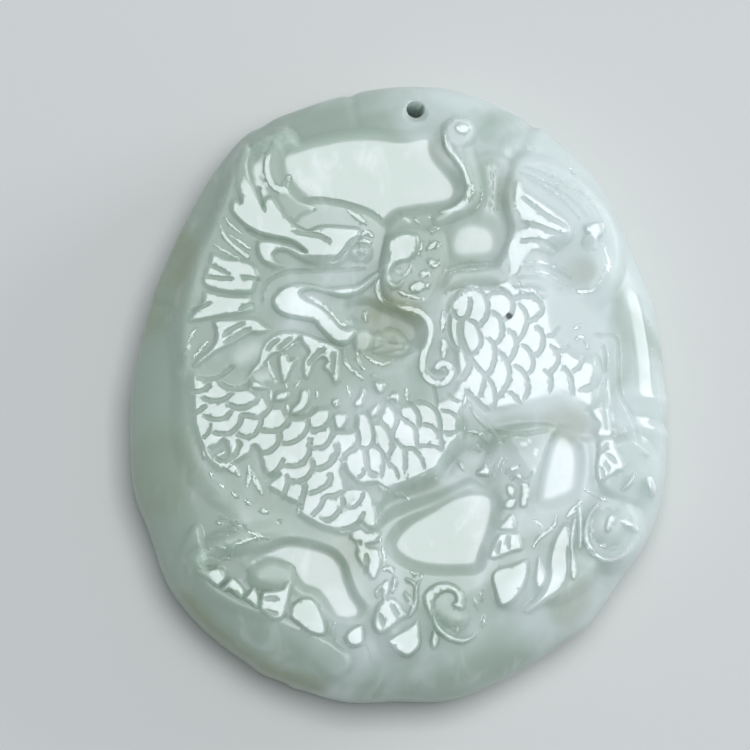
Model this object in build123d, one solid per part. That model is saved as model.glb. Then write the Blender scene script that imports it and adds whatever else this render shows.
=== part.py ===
from build123d import *
import math
import os

import numpy as np

# Jade qilin pendant, carved from one pebble of pale nephrite.
# It lies on its flat back: +Z is the carved face's way, +Y runs up to the hanging hole,
# and +X is to the right of someone who looks at the face. All lengths are in millimetres.

# Pebble
WIDTH = 54.0
HEIGHT = 62.0
THICKNESS = 12.0
# How much lower the face lies at the rim than in the middle
FACE_CROWN = 0.5
# Rounded front rim: how far it reaches in from the edge, and how far it drops
RIM_WIDTH = 6.0
RIM_DROP = 5.0
# Rounding between the side wall and the flat back
BACK_ROUND = 2.5

# Hanging hole, drilled straight from front to back
HOLE_DIAMETER = 1.8
HOLE_FROM_TOP = 2.8
HOLE_TO_RIGHT = 1.3

# Carving: from the face down to the polished floors of the five sunk fields
RELIEF_DEPTH = 2.4
# Width of the soft slope between two levels
SHOULDER_WIDTH = 2.0
# Width of the slope from the rim band down to the picture
PICTURE_SLOPE = 3.0
# How steep a ridge's sides are: 1 slopes from its middle line, more leaves a flat top
RIDGE_STEEPNESS = 1.4

# Facets: rings of points from the middle of the face to its edge
RING_COUNT = 36
SECTORS = 6
CURVE_STEPS = 6
BACK_ROUND_STEPS = 3

# Outline: the radius at each angle, counted from the right in degrees,
# as a share of the radius of a plain ellipse of the pebble's width and height
OUTLINE = (
    # angle, radius
    (0, 0.995),
    (20, 0.994),
    (40, 1.004),
    (60, 1.012),
    (80, 1.008),
    (100, 0.990),
    (120, 1.010),
    (140, 0.974),
    (160, 0.972),
    (180, 0.992),
    (200, 1.034),
    (220, 1.054),
    (240, 1.034),
    (260, 1.012),
    (280, 1.002),
    (300, 1.006),
    (320, 1.022),
    (340, 1.034),
)

# Shallow scallops that the carving leaves in the outline, in the same share
SCALLOPS = (
    # angle, rise, spread in degrees
    (62, 0.006, 4),
    (101, -0.006, 3),
    (131, 0.006, 6),
    (244, 0.008, 4),
    (352, 0.008, 3),
    (358, 0.008, 3),
)

# Areas of the relief, from the first cut to the last. The level is a share of the relief's
# depth, 0 on the floor of a sunk field and 1 on the face. Each point is in hundredths of the
# half width across and of the half height up, and a smooth closed curve runs through them.
AREAS = (
    # name, level, slope's share of the shoulder width, outline
    ("tail", 0.84, 1.6, (
        (43, 33), (40, 43), (42, 51), (45, 57), (42, 66), (45, 75), (54, 82), (64, 77),
        (74, 68), (80, 57), (83, 45), (78, 34), (68, 30), (55, 33))),
    ("clouds at right", 0.78, 1.6, (
        (54, -38), (70, -30), (86, -26), (90, -34), (87, -47), (77, -59), (60, -65), (51, -62),
        (49, -51))),
    ("rocks at foot", 0.74, 1.6, (
        (-80, -54), (-70, -50), (-56, -62), (-37, -68), (-24, -73), (-9, -74), (11, -62),
        (26, -60), (34, -66), (47, -64), (38, -77), (14, -84), (-18, -85), (-45, -79),
        (-67, -67))),
    ("body", 0.90, 2.0, (
        (-72, 14), (-77, 4), (-77, -9), (-74, -20), (-65, -29), (-53, -35), (-37, -41),
        (-23, -45), (-9, -42), (-6, -32), (11, -30), (20, -26), (30, -15), (54, -14),
        (69, -16), (78, -12), (79, 7), (72, 22), (55, 33), (20, 35), (14, 28), (11, 8),
        (0, 6), (-19, 4), (-37, 8), (-52, 14))),
    ("head", 0.86, 1.2, (
        (-74, 24), (-73, 37), (-60, 50), (-60, 66), (-58, 80), (-52, 66), (-49, 78), (-43, 86),
        (-41, 77), (-43, 67), (-33, 59), (-19, 60), (-7, 56), (0, 59), (9, 58), (16, 53),
        (15, 42), (11, 33), (4, 30), (-6, 32), (-8, 20), (-15, 13), (-22, 3), (-34, 3),
        (-43, 4), (-52, 11), (-65, 7), (-76, 10))),
    ("mouth", 0.40, 1.6, (
        (-36, 32), (-22, 30), (-9, 32), (0, 24), (5, 16), (-5, 13), (-14, 17), (-20, 23),
        (-29, 28))),
    ("upper field", 0.0, 1.0, (
        (-42, 77), (-30, 82), (-19, 84), (0, 83), (11, 83), (13, 76), (19, 70), (21, 66),
        (16, 62), (0, 59), (-8, 56), (-19, 59), (-31, 60), (-38, 66))),
    ("field behind horn", 0.15, 1.0, (
        (18, 54), (27, 57), (29, 66), (29, 77), (40, 77), (42, 66), (40, 56), (35, 51),
        (33, 44), (19, 43))),
    ("belly field", 0.0, 1.2, (
        (-2, -45), (5, -41), (15, -36), (26, -32), (33, -33), (35, -39), (33, -45), (30, -56),
        (15, -58), (2, -55))),
    ("field between hind legs", 0.0, 1.0, (
        (57, -12), (65, -15), (68, -22), (67, -32), (60, -37), (53, -36), (50, -25),
        (54, -15))),
    ("field between forelegs", 0.0, 1.0, (
        (-58, -54), (-50, -49), (-42, -48), (-32, -49), (-23, -53), (-16, -63), (-14, -72),
        (-20, -74), (-26, -71), (-32, -63), (-40, -58), (-48, -55))),
)

# Ridges of the relief, raised over the areas, each along a smooth line with a half width at
# its start, middle and end. Widths and points are in the same hundredths, and the half widths
# follow the half width of the pebble.
RIDGES = (
    # name, level, half widths, line
    ("horn", 0.95, (9, 7, 6), (
        (23, 86), (20, 80), (24, 73), (28, 66), (26, 61), (20, 58), (13, 56))),
    ("front antler", 0.94, (5, 5, 4), ((-47, 63), (-48, 70), (-46, 80))),
    ("rear antler", 0.94, (8, 6, 4), ((-44, 56), (-54, 64), (-57, 80))),
    ("brow", 1.00, (6, 8, 6), ((-44, 52), (-28, 50), (-13, 54))),
    ("upper jaw", 0.94, (5, 5, 5), ((-46, 36), (-30, 37), (-12, 38))),
    ("lower jaw", 0.94, (7, 6, 5), ((-43, 30), (-35, 27), (-26, 21), (-22, 17))),
    ("nose", 1.00, (7, 8, 6), ((-8, 46), (1, 49), (5, 43), (-1, 38))),
    ("beaded crest", 0.96, (5, 5, 5), ((13, 54), (12, 47), (12, 42), (9, 38), (7, 34))),
    ("whisker", 0.96, (5, 5, 6), (
        (-6, 40), (-8, 33), (-2, 28), (7, 26), (10, 20), (8, 11), (12, 4), (17, 6))),
    ("tongue", 0.70, (6, 6, 5), ((-11, 21), (-6, 17), (-2, 14))),
    ("tail plume", 0.96, (7, 9, 6), (
        (44, 68), (54, 62), (67, 61), (77, 54), (79, 42), (72, 34), (65, 34))),
    ("tail root", 0.96, (6, 7, 6), ((42, 38), (45, 50), (60, 49))),
    ("foreleg, standing", 0.94, (11, 8, 8), (
        (-18, -36), (-12, -50), (-11, -59), (-4, -69), (1, -80))),
    ("foreleg, bent", 0.90, (8, 7, 8), (
        (-36, -44), (-56, -48), (-74, -54), (-69, -61), (-56, -66), (-46, -68), (-33, -73))),
    ("hind leg, middle", 0.90, (15, 9, 8), (
        (15, -10), (30, -20), (39, -35), (40, -50), (40, -64))),
    ("hind leg, right", 0.90, (8, 6, 7), ((73, 14), (75, -2), (75, -17), (79, -27))),
    ("hoof, right", 0.86, (7, 8, 7), ((80, -26), (86, -25), (91, -26))),
    ("cloud spiral", 0.94, (5, 5, 5), (
        (71, -33), (68, -43), (71, -51), (79, -54), (87, -50), (88, -42), (82, -38), (76, -41))),
    ("cloud sheet", 0.90, (5, 6, 5), ((66, -38), (62, -48), (60, -60), (53, -65))),
    ("cloud curl", 0.90, (5, 5, 5), (
        (28, -78), (19, -79), (13, -73), (12, -66), (17, -62), (22, -65), (22, -69))),
)

# The picture, sunk a little under the rim band that runs round it
PICTURE_LEVEL = 0.52
PICTURE = (
    (-78, 20), (-72, 50), (-58, 74), (-42, 86), (-20, 88), (20, 90), (50, 84), (72, 68),
    (84, 46), (88, 20), (90, -10), (94, -30), (88, -50), (68, -68), (40, -80), (10, -86),
    (-24, -86), (-50, -80), (-72, -66), (-82, -50), (-78, -30), (-80, -5))


def ease(share):
    """Turns a share from 0 to 1 into one that starts and ends gently."""
    share = np.clip(share, 0.0, 1.0)
    return share * share * (3.0 - 2.0 * share)


def placed(points):
    """Turns points in hundredths of the half width and half height into places."""
    return np.array(points, float) * (WIDTH / 200.0, HEIGHT / 200.0)


def curve_through(points, closed):
    """Gives a smooth line through the points, as short straight steps."""
    if closed:
        around = np.concatenate((points[-1:], points, points[:2]))
    else:
        around = np.concatenate((points[:1], points, points[-1:]))
    line = []
    for before, start, end, after in zip(around, around[1:], around[2:], around[3:]):
        for step in range(CURVE_STEPS):
            t = step / CURVE_STEPS
            line.append(0.5 * (2 * start + (end - before) * t
                               + (2 * before - 5 * start + 4 * end - after) * t ** 2
                               + (3 * start - before - 3 * end + after) * t ** 3))
    line.append(around[-2])
    return np.array(line)


def distance_to(places, line):
    """Gives each place's distance to the line, and how far along the line it lies."""
    nearest = np.full(len(places), np.inf)
    along = np.zeros(len(places))
    last = len(line) - 1
    for index in range(last):
        run = line[index + 1] - line[index]
        offset = places - line[index]
        share = np.clip(offset @ run / (run @ run), 0.0, 1.0)
        distance = np.hypot(*(offset - share[:, None] * run).T)
        closer = distance < nearest
        nearest[closer] = distance[closer]
        along[closer] = (index + share[closer]) / last
    return nearest, along


def within(places, loop):
    """Says which places lie within the closed loop."""
    inside = np.zeros(len(places), bool)
    for start, end in zip(loop, loop[1:]):
        crosses = (start[1] > places[:, 1]) != (end[1] > places[:, 1])
        rise = end[1] - start[1] if end[1] != start[1] else 1.0
        crossing = start[0] + (end[0] - start[0]) * (places[:, 1] - start[1]) / rise
        inside ^= crosses & (places[:, 0] < crossing)
    return inside


def area_share(places, points, slope):
    """Gives 1 inside the area, 0 outside it, and an eased share on its slope."""
    loop = curve_through(placed(points), closed=True)
    distance, _ = distance_to(places, loop)
    signed = np.where(within(places, loop), distance, -distance)
    return ease(0.5 + signed / slope)


def ridge_share(places, points, half_widths):
    """Gives 1 along the ridge's line, eased to 0 at its half width."""
    line = curve_through(placed(points), closed=False)
    distance, along = distance_to(places, line)
    widths = np.array(half_widths) * WIDTH / 200.0
    half_width = np.interp(along, (0.0, 0.5, 1.0), widths)
    return ease(RIDGE_STEEPNESS * (1.0 - distance / half_width))


def relief_level(places):
    """Gives the level of the carving at each place, as a share of its depth."""
    level = np.ones(len(places))
    level += (PICTURE_LEVEL - level) * area_share(places, PICTURE, PICTURE_SLOPE)
    for _, target, slope, points in AREAS:
        level += (target - level) * area_share(places, points, slope * SHOULDER_WIDTH)
    for _, target, half_widths, points in RIDGES:
        level += (target - level) * ridge_share(places, points, half_widths)
    return level


def outline_radius(angle):
    """Gives the pebble's radius at an angle in radians, before it is fitted to its box."""
    angles = [math.radians(row[0]) for row in OUTLINE] + [2 * math.pi]
    shares = [row[1] for row in OUTLINE] + [OUTLINE[0][1]]
    angle = angle % (2 * math.pi)
    index = sum(1 for start in angles[1:-1] if start <= angle)
    along = (angle - angles[index]) / (angles[index + 1] - angles[index])
    before = shares[index - 1] if index else shares[-2]
    start, end = shares[index], shares[index + 1]
    after = shares[index + 2] if index + 2 < len(shares) else shares[1]
    share = 0.5 * (2 * start + (end - before) * along
                   + (2 * before - 5 * start + 4 * end - after) * along ** 2
                   + (3 * start - before - 3 * end + after) * along ** 3)
    for at, rise, spread in SCALLOPS:
        turn = (math.degrees(angle) - at + 180) % 360 - 180
        share += rise * math.exp(-(turn / spread) ** 2)
    across, up = math.cos(angle) * HEIGHT / 2, math.sin(angle) * WIDTH / 2
    return share * WIDTH * HEIGHT / 4 / math.hypot(across, up)


def edge_points(count):
    """Gives points round the pebble's edge, fitted to its width and height."""
    angles = [2 * math.pi * index / count for index in range(count)]
    points = np.array([(outline_radius(a) * math.cos(a), outline_radius(a) * math.sin(a))
                       for a in angles])
    low, high = points.min(axis=0), points.max(axis=0)
    return (points - (low + high) / 2) * (WIDTH, HEIGHT) / (high - low)


def face_heights(places, shares, radii):
    """Gives the carved face's height at each place.

    The shares say how far from the middle to the edge each place lies, and the radii are
    the edge's own, measured the same way out.
    """
    rim = np.clip(1.0 - (1.0 - shares) * radii / RIM_WIDTH, 0.0, 1.0)
    drop = RIM_DROP * (1.0 - np.sqrt(1.0 - rim ** 2))
    carved = RELIEF_DEPTH * (1.0 - relief_level(places)) * (1.0 - rim ** 2)
    return THICKNESS - FACE_CROWN * shares ** 2 - drop - carved


def joined_rings(inner, inner_count, outer, outer_count):
    """Fills the band between two rings of points with triangles.

    Each ring is given by the number of its first point and by its count.
    """
    triangles = []
    step_in = step_out = 0
    while step_in < inner_count or step_out < outer_count:
        here_in = inner + step_in % inner_count
        here_out = outer + step_out % outer_count
        if (step_out + 1) * inner_count <= (step_in + 1) * outer_count and step_out < outer_count:
            step_out += 1
            triangles.append((here_in, here_out, outer + step_out % outer_count))
        else:
            step_in += 1
            triangles.append((here_in, here_out, inner + step_in % inner_count))
    return triangles


def face_mesh():
    """Gives the points and triangles of the carved face; its last ring is the edge."""
    places = [np.zeros((1, 2))]
    shares = [np.zeros(1)]
    radii = [np.full(1, WIDTH / 2)]
    starts = [0]
    triangles = [(0, 1 + k, 1 + (k + 1) % SECTORS) for k in range(SECTORS)]
    first = 1
    for ring in range(1, RING_COUNT + 1):
        count = SECTORS * ring
        edge = edge_points(count)
        places.append(edge * ring / RING_COUNT)
        shares.append(np.full(count, ring / RING_COUNT))
        radii.append(np.hypot(*edge.T))
        if ring > 1:
            triangles += joined_rings(starts[-1], count - SECTORS, first, count)
        starts.append(first)
        first += count
    places = np.concatenate(places)
    heights = face_heights(places, np.concatenate(shares), np.concatenate(radii))
    return np.column_stack((places, heights)), triangles


def wall_levels():
    """Gives the inset and height of each ring of the side wall, from front to back."""
    levels = [(0.0, BACK_ROUND)]
    for step in range(1, BACK_ROUND_STEPS + 1):
        turn = math.pi / 2 * step / BACK_ROUND_STEPS
        levels.append((BACK_ROUND * (1 - math.cos(turn)), BACK_ROUND * (1 - math.sin(turn))))
    return levels


def make_pebble():
    """Makes the closed carved pebble, before the hole is drilled."""
    points, triangles = face_mesh()
    faces = [Face(Wire.make_polygon([tuple(points[i]) for i in corners]))
             for corners in triangles]
    count = SECTORS * RING_COUNT
    upper = points[-count:]
    for inset, height in wall_levels():
        scale = 1.0 - inset / (WIDTH / 2)
        lower = np.column_stack((points[-count:, :2] * scale, np.full(count, height)))
        for k in range(count):
            after = (k + 1) % count
            corners = (upper[k], lower[k], lower[after], upper[after])
            faces.append(Face(Wire.make_polygon([tuple(corner) for corner in corners])))
        upper = lower
    faces.append(Face(Wire.make_polygon([tuple(point) for point in upper])))
    return Solid(Shell(faces))


def make_hole():
    """Makes the round drill that opens the hanging hole."""
    place = Pos(HOLE_TO_RIGHT, HEIGHT / 2 - HOLE_FROM_TOP, THICKNESS / 2)
    return place * Cylinder(HOLE_DIAMETER / 2, 2 * THICKNESS)


pendant = make_pebble() - make_hole()
os.makedirs("parts", exist_ok=True)
export_step(pendant, "parts/pendant.step", write_pcurves=False)
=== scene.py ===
"""Jade qilin pendant: one pebble of pale nephrite, carved in low relief, polished and drilled."""
import logging
import math
from dataclasses import dataclass
from enum import Enum

import bmesh
import bpy
import numpy as np
from mathutils import Matrix, Quaternion, Vector


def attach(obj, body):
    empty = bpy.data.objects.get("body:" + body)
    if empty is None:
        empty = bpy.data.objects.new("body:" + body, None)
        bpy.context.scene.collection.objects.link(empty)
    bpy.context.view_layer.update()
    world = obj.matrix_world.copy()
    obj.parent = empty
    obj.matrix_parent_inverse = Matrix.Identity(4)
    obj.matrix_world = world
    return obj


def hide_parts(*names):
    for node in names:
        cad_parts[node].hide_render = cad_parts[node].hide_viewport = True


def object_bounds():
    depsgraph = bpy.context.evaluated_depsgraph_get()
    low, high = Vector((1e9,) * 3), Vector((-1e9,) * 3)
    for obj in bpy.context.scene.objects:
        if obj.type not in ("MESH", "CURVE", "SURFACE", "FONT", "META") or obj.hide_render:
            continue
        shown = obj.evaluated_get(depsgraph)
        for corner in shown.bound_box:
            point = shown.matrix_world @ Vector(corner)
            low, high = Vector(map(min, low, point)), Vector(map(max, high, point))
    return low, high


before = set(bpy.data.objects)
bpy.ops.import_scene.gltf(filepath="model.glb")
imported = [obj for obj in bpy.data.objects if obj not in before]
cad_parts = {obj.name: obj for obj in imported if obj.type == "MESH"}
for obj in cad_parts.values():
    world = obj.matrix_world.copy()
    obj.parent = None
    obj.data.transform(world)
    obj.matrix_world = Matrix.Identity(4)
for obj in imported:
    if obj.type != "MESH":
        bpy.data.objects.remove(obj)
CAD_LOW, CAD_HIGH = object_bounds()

Point = tuple[float, float]
Line = tuple[Point, ...]
Triple = tuple[float, float, float]
Socket = int | float | tuple | bpy.types.NodeSocket
Tree = bpy.types.NodeTree

NODE = "pendant"
BODY = "root"
GLOSS = "gloss"
STAIN = "stain"
MM = 0.001
# How far a strand rises for a pixel of half width, in millimetres, and into how many
# shoulders a flat strand's half width would divide
STRAND_RISE = 0.030
STRAND_SHOULDERS = 2.2
# How many pixels of a broad shoulder lie inside its area's outline
SHOULDER_INSIDE = 3.0
# How deep an ordinary engraved line is, in millimetres
LINE_DEPTH = 0.105
# How far a stain fades out, as a multiple of its radius
STAIN_REACH = 1.6
# What the shortest run of a line counts as, so that nothing is divided by zero
SHORTEST_RUN = 1e-9

# The photograph's pixels: where the middle of the pebble's box lies, and half of its size
MIDDLE_PX = (400.0, 392.5)
HALF_SIZE_PX = (269.0, 307.5)
# The photograph looks a little from the lower left, and the face lies above that middle: how
# far it shows shifted there, how much larger, and how far a pixel to the right shows lower
FACE_SHIFT_PX = (3.8, -6.5)
FACE_SCALE = 1.006
FACE_SHEAR = 0.0085


class Crown(Enum):
    """The cross-section of a raised strand."""

    ROUND = "round"
    FLAT = "flat"
    SOFT = "soft"


class Base(Enum):
    """The surface that a form's level is counted from."""

    FACE = "face"
    GROUND = "ground"


@dataclass
class Surface:
    """The relief in the making, at many places. All heights are in millimetres.

    The face is flat and bends down only close to the edge. The ground is the stone that is
    left round the picture: lower than the face, and sloping down from further in. The gloss
    runs from 0 on satin ground to 1 on a polished plate.
    """

    pixels: np.ndarray
    face: np.ndarray
    ground: np.ndarray
    height: np.ndarray
    gloss: np.ndarray
    cut: np.ndarray
    depth: float

    def move(self, numbers: np.ndarray, share: np.ndarray, level: float | np.ndarray,
             base: Base, gloss: float | np.ndarray,
             most: float | np.ndarray = math.inf) -> None:
        """Moves the heights of some places towards a level.

        Args:
            numbers: The places' numbers.
            share: How far each one moves, from 0 to 1.
            level: The level: 1 on the base surface, 0 the whole depth below it.
            base: The surface that the level is counted from.
            gloss: The gloss that they move towards.
            most: The most that a place may move, in millimetres.
        """
        start = self.face if base is Base.FACE else self.ground
        target = start[numbers] - self.depth * (1.0 - level)
        self.height[numbers] += np.clip(target - self.height[numbers], -most, most) * share
        self.gloss[numbers] += (gloss - self.gloss[numbers]) * share


def ease(share: np.ndarray) -> np.ndarray:
    """Turns a share from 0 to 1 into one that starts and ends gently.

    Args:
        share: The shares, which are first kept from 0 to 1.

    Returns:
        The eased shares.
    """
    share = np.clip(share, 0.0, 1.0)
    return share * share * (3.0 - 2.0 * share)


def smooth_between(before: np.ndarray, start: np.ndarray, end: np.ndarray,
                   after: np.ndarray, share: np.ndarray) -> np.ndarray:
    """Follows the smooth curve that runs through four points, between the middle two.

    Args:
        before: The point before the start.
        start: The point where the share is 0.
        end: The point where the share is 1.
        after: The point after the end.
        share: How far along it each wanted place lies.

    Returns:
        The places.
    """
    return 0.5 * (2 * start + (end - before) * share
                  + (2 * before - 5 * start + 4 * end - after) * share ** 2
                  + (3 * start - before - 3 * end + after) * share ** 3)


def smooth_line(points: Line, closed: bool, steps: int = 5) -> np.ndarray:
    """Draws a smooth line through points.

    Args:
        points: The points that the line runs through.
        closed: Whether it comes back to its first point.
        steps: How many straight steps join two points.

    Returns:
        The line's points, one a row.
    """
    corners = np.array(points, float)
    if closed:
        corners = np.concatenate((corners[-1:], corners, corners[:2]))
    else:
        corners = np.concatenate((corners[:1], corners, corners[-1:]))
    turns = np.linspace(0.0, 1.0, steps, endpoint=False)[:, None]
    line = [smooth_between(*four, turns)
            for four in zip(corners, corners[1:], corners[2:], corners[3:])]
    return np.concatenate(line + [corners[-2:-1]])


def near(places: np.ndarray, line: np.ndarray, reach: float) -> np.ndarray:
    """Finds the places close to a line.

    Args:
        places: The places, one a row.
        line: The line's points.
        reach: How far outside the line's own box a place may lie.

    Returns:
        The numbers of those places.
    """
    low, high = line.min(axis=0) - reach, line.max(axis=0) + reach
    across, down = places.T
    level = np.nonzero((down > low[1]) & (down < high[1]))[0]
    across = across[level]
    return level[(across > low[0]) & (across < high[0])]


def distance_to(places: np.ndarray, line: np.ndarray,
                reach: float) -> tuple[np.ndarray, np.ndarray]:
    """Measures places against a line.

    Args:
        places: The places, one a row.
        line: The line's points.
        reach: The distance up to which places are measured.

    Returns:
        Each place's distance to the line, endless past the reach, and the share of the line
        that comes before it.
    """
    nearest = np.full(len(places), np.inf)
    along = np.zeros(len(places))
    runs = np.diff(line, axis=0)
    lengths = np.maximum(np.hypot(*runs.T), SHORTEST_RUN)
    passed = np.concatenate(([0.0], np.cumsum(lengths)))
    across, down = np.ascontiguousarray(places.T)
    for start, run, length, before in zip(line, runs, lengths, passed):
        middle, half = start + run / 2, np.abs(run) / 2 + reach
        close = np.nonzero((np.abs(across - middle[0]) < half[0])
                           & (np.abs(down - middle[1]) < half[1]))[0]
        aside_x, aside_y = across[close] - start[0], down[close] - start[1]
        share = np.clip((aside_x * run[0] + aside_y * run[1]) / length ** 2, 0.0, 1.0)
        distance = np.hypot(aside_x - share * run[0], aside_y - share * run[1])
        closer = distance < nearest[close]
        close = close[closer]
        nearest[close] = distance[closer]
        along[close] = before + share[closer] * length
    return nearest, along / passed[-1]


def within(places: np.ndarray, loop: np.ndarray) -> np.ndarray:
    """Says which places lie inside a closed loop.

    Args:
        places: The places, one a row.
        loop: The loop's points, the first one again at the end.

    Returns:
        True for each place inside.
    """
    inside = np.zeros(len(places), bool)
    across, down = np.ascontiguousarray(places.T)
    for start, end in zip(loop, loop[1:]):
        if start[1] == end[1]:
            continue
        level = np.nonzero((start[1] > down) != (end[1] > down))[0]
        slant = (end[0] - start[0]) / (end[1] - start[1])
        inside[level] ^= across[level] < start[0] + slant * (down[level] - start[1])
    return inside


@dataclass(frozen=True)
class Area:
    """A part of the relief cut to one level inside a smooth closed outline.

    The slope is the width of the shoulder, which lies astride the outline when narrow and
    outside it when broad. Both it and the outline are in the photograph's pixels. The lean is
    the rise of its level over 100 pixels to the right and over 100 towards the foot. The fade
    is the width inside the outline over which the polish comes up to its gloss.
    """

    name: str
    level: float
    slope: float
    outline: Line
    base: Base = Base.FACE
    lean: tuple[float, float] = (0.0, 0.0)
    gloss: float = 1.0
    fade: float = 0.0

    def carve(self, surface: Surface) -> None:
        """Moves the places inside the outline to this area's level.

        Args:
            surface: The relief so far, changed in place.
        """
        loop = smooth_line(self.outline, closed=True)
        numbers = near(surface.pixels, loop, self.slope)
        chosen = surface.pixels[numbers]
        distance, _ = distance_to(chosen, loop, max(self.slope, self.fade + SHOULDER_INSIDE))
        signed = np.where(within(chosen, loop), distance, -distance)
        middle = (loop.min(axis=0) + loop.max(axis=0)) / 2
        level = self.level + (chosen - middle) @ np.array(self.lean) / 100.0
        inner = min(self.slope / 2, SHOULDER_INSIDE)
        share = ease(1.0 + (signed - inner) / self.slope)
        gloss = self.gloss * (ease((signed - inner) / self.fade) if self.fade else 1.0)
        surface.move(numbers, share, level, self.base, gloss)


@dataclass(frozen=True)
class Ridge:
    """A raised strand of the relief along a smooth line.

    The half widths are those at its start, middle and end, in pixels like the line. A thin
    strand rises or sinks less than a broad one.
    """

    name: str
    level: float
    half_widths: Triple
    line: Line
    crown: Crown = Crown.FLAT
    base: Base = Base.FACE
    gloss: float = 1.0

    def carve(self, surface: Surface) -> None:
        """Moves the places along the line to this strand's level.

        Args:
            surface: The relief so far, changed in place.
        """
        line = smooth_line(self.line, closed=False)
        reach = max(self.half_widths)
        numbers = near(surface.pixels, line, reach)
        distance, along = distance_to(surface.pixels[numbers], line, reach)
        half_width = np.interp(along, (0.0, 0.5, 1.0), self.half_widths)
        aside = np.clip(distance / half_width, 0.0, 1.0)
        if self.crown is Crown.ROUND:
            share = 1.0 - aside ** 2
        elif self.crown is Crown.FLAT:
            share = ease((1.0 - aside) * STRAND_SHOULDERS)
        else:
            share = ease(1.0 - aside)
        surface.move(numbers, share, self.level, self.base, self.gloss,
                     half_width * STRAND_RISE)


@dataclass(frozen=True)
class Groove:
    """An engraved line with a flat satin bottom that runs out at both ends.

    The line and the half width are in pixels. The depth is in millimetres. Its taper starts
    at end_depth, gains end_rise over each half width and narrows the ends to end_width. A wall
    takes up the half width divided by wall_steepness.
    """

    line: Line
    half_width: float
    depth: float
    end_depth: float = 0.45
    end_rise: float = 0.5
    end_width: float = 0.6
    wall_steepness: float = 1.8

    def carve(self, surface: Surface) -> None:
        """Deepens the cut at the places along the line.

        Args:
            surface: The relief so far, changed in place.
        """
        line = smooth_line(self.line, closed=False)
        numbers = near(surface.pixels, line, self.half_width)
        distance, along = distance_to(surface.pixels[numbers], line, self.half_width)
        length = np.hypot(*np.diff(line, axis=0).T).sum()
        from_end = np.minimum(along, 1.0 - along) * length / self.half_width
        taper = ease(self.end_depth + self.end_rise * from_end)
        narrowed = self.end_width + (1.0 - self.end_width) * taper
        aside = np.clip(distance / (self.half_width * narrowed), 0.0, 1.0)
        cut = self.depth * taper * ease((1.0 - aside) * self.wall_steepness)
        surface.cut[numbers] = np.maximum(surface.cut[numbers], cut)


def numbered(kind: type[Area] | type[Ridge], name: str, rows: tuple[tuple, ...]) -> tuple:
    """Makes several forms of one kind, and numbers their names.

    Args:
        kind: Area or Ridge.
        name: What each of them is.
        rows: Each form's level, its slope or half widths, and its outline or line.

    Returns:
        The forms.
    """
    return tuple(kind(f"{name} {number}", *row) for number, row in enumerate(rows, 1))


# The pebble's edge: its radius in pixels at every 10 degrees, from the right and
# counterclockwise as seen from the face
EDGE_RADII = (
    267.5, 268.0, 271.0, 273.5, 284.5, 295.0, 300.0, 304.0, 308.5, 306.5, 302.5, 300.0, 300.5,
    288.0, 275.5, 267.5, 265.0, 263.0, 268.0, 273.0, 282.0, 286.0, 299.0, 304.0, 306.0, 307.5,
    309.5, 304.5, 307.5, 302.0, 297.5, 297.0, 288.5, 288.0, 282.0, 273.0,
)

# Nicks and swells that the carving leaves in the edge: angle, rise in pixels, spread in degrees
NICKS = (
    (63.5, -2.5, 1.2), (61.0, 2.0, 1.6), (99.5, -2.0, 1.2), (117.6, -2.5, 2.0),
    (160.8, -2.0, 1.2), (358.6, 2.5, 1.6), (353.6, -2.5, 1.2), (351.5, 2.0, 1.4),
    (250.5, 2.0, 1.6), (244.0, 2.5, 3.0),
)

ROUND, SOFT = Crown.ROUND, Crown.SOFT
GROUND = Base.GROUND
# Half widths of the usual thin strands, in pixels
FINE, THIN, SLIM = (1.2, 1.8, 1.2), (1.2, 2.0, 1.2), (1.4, 2.4, 1.4)
HAIR, LOCK, FULL, BEAD = (1.4, 2.2, 1.4), (1.6, 2.4, 1.6), (1.6, 2.6, 1.6), (2.0, 2.6, 2.0)
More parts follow.
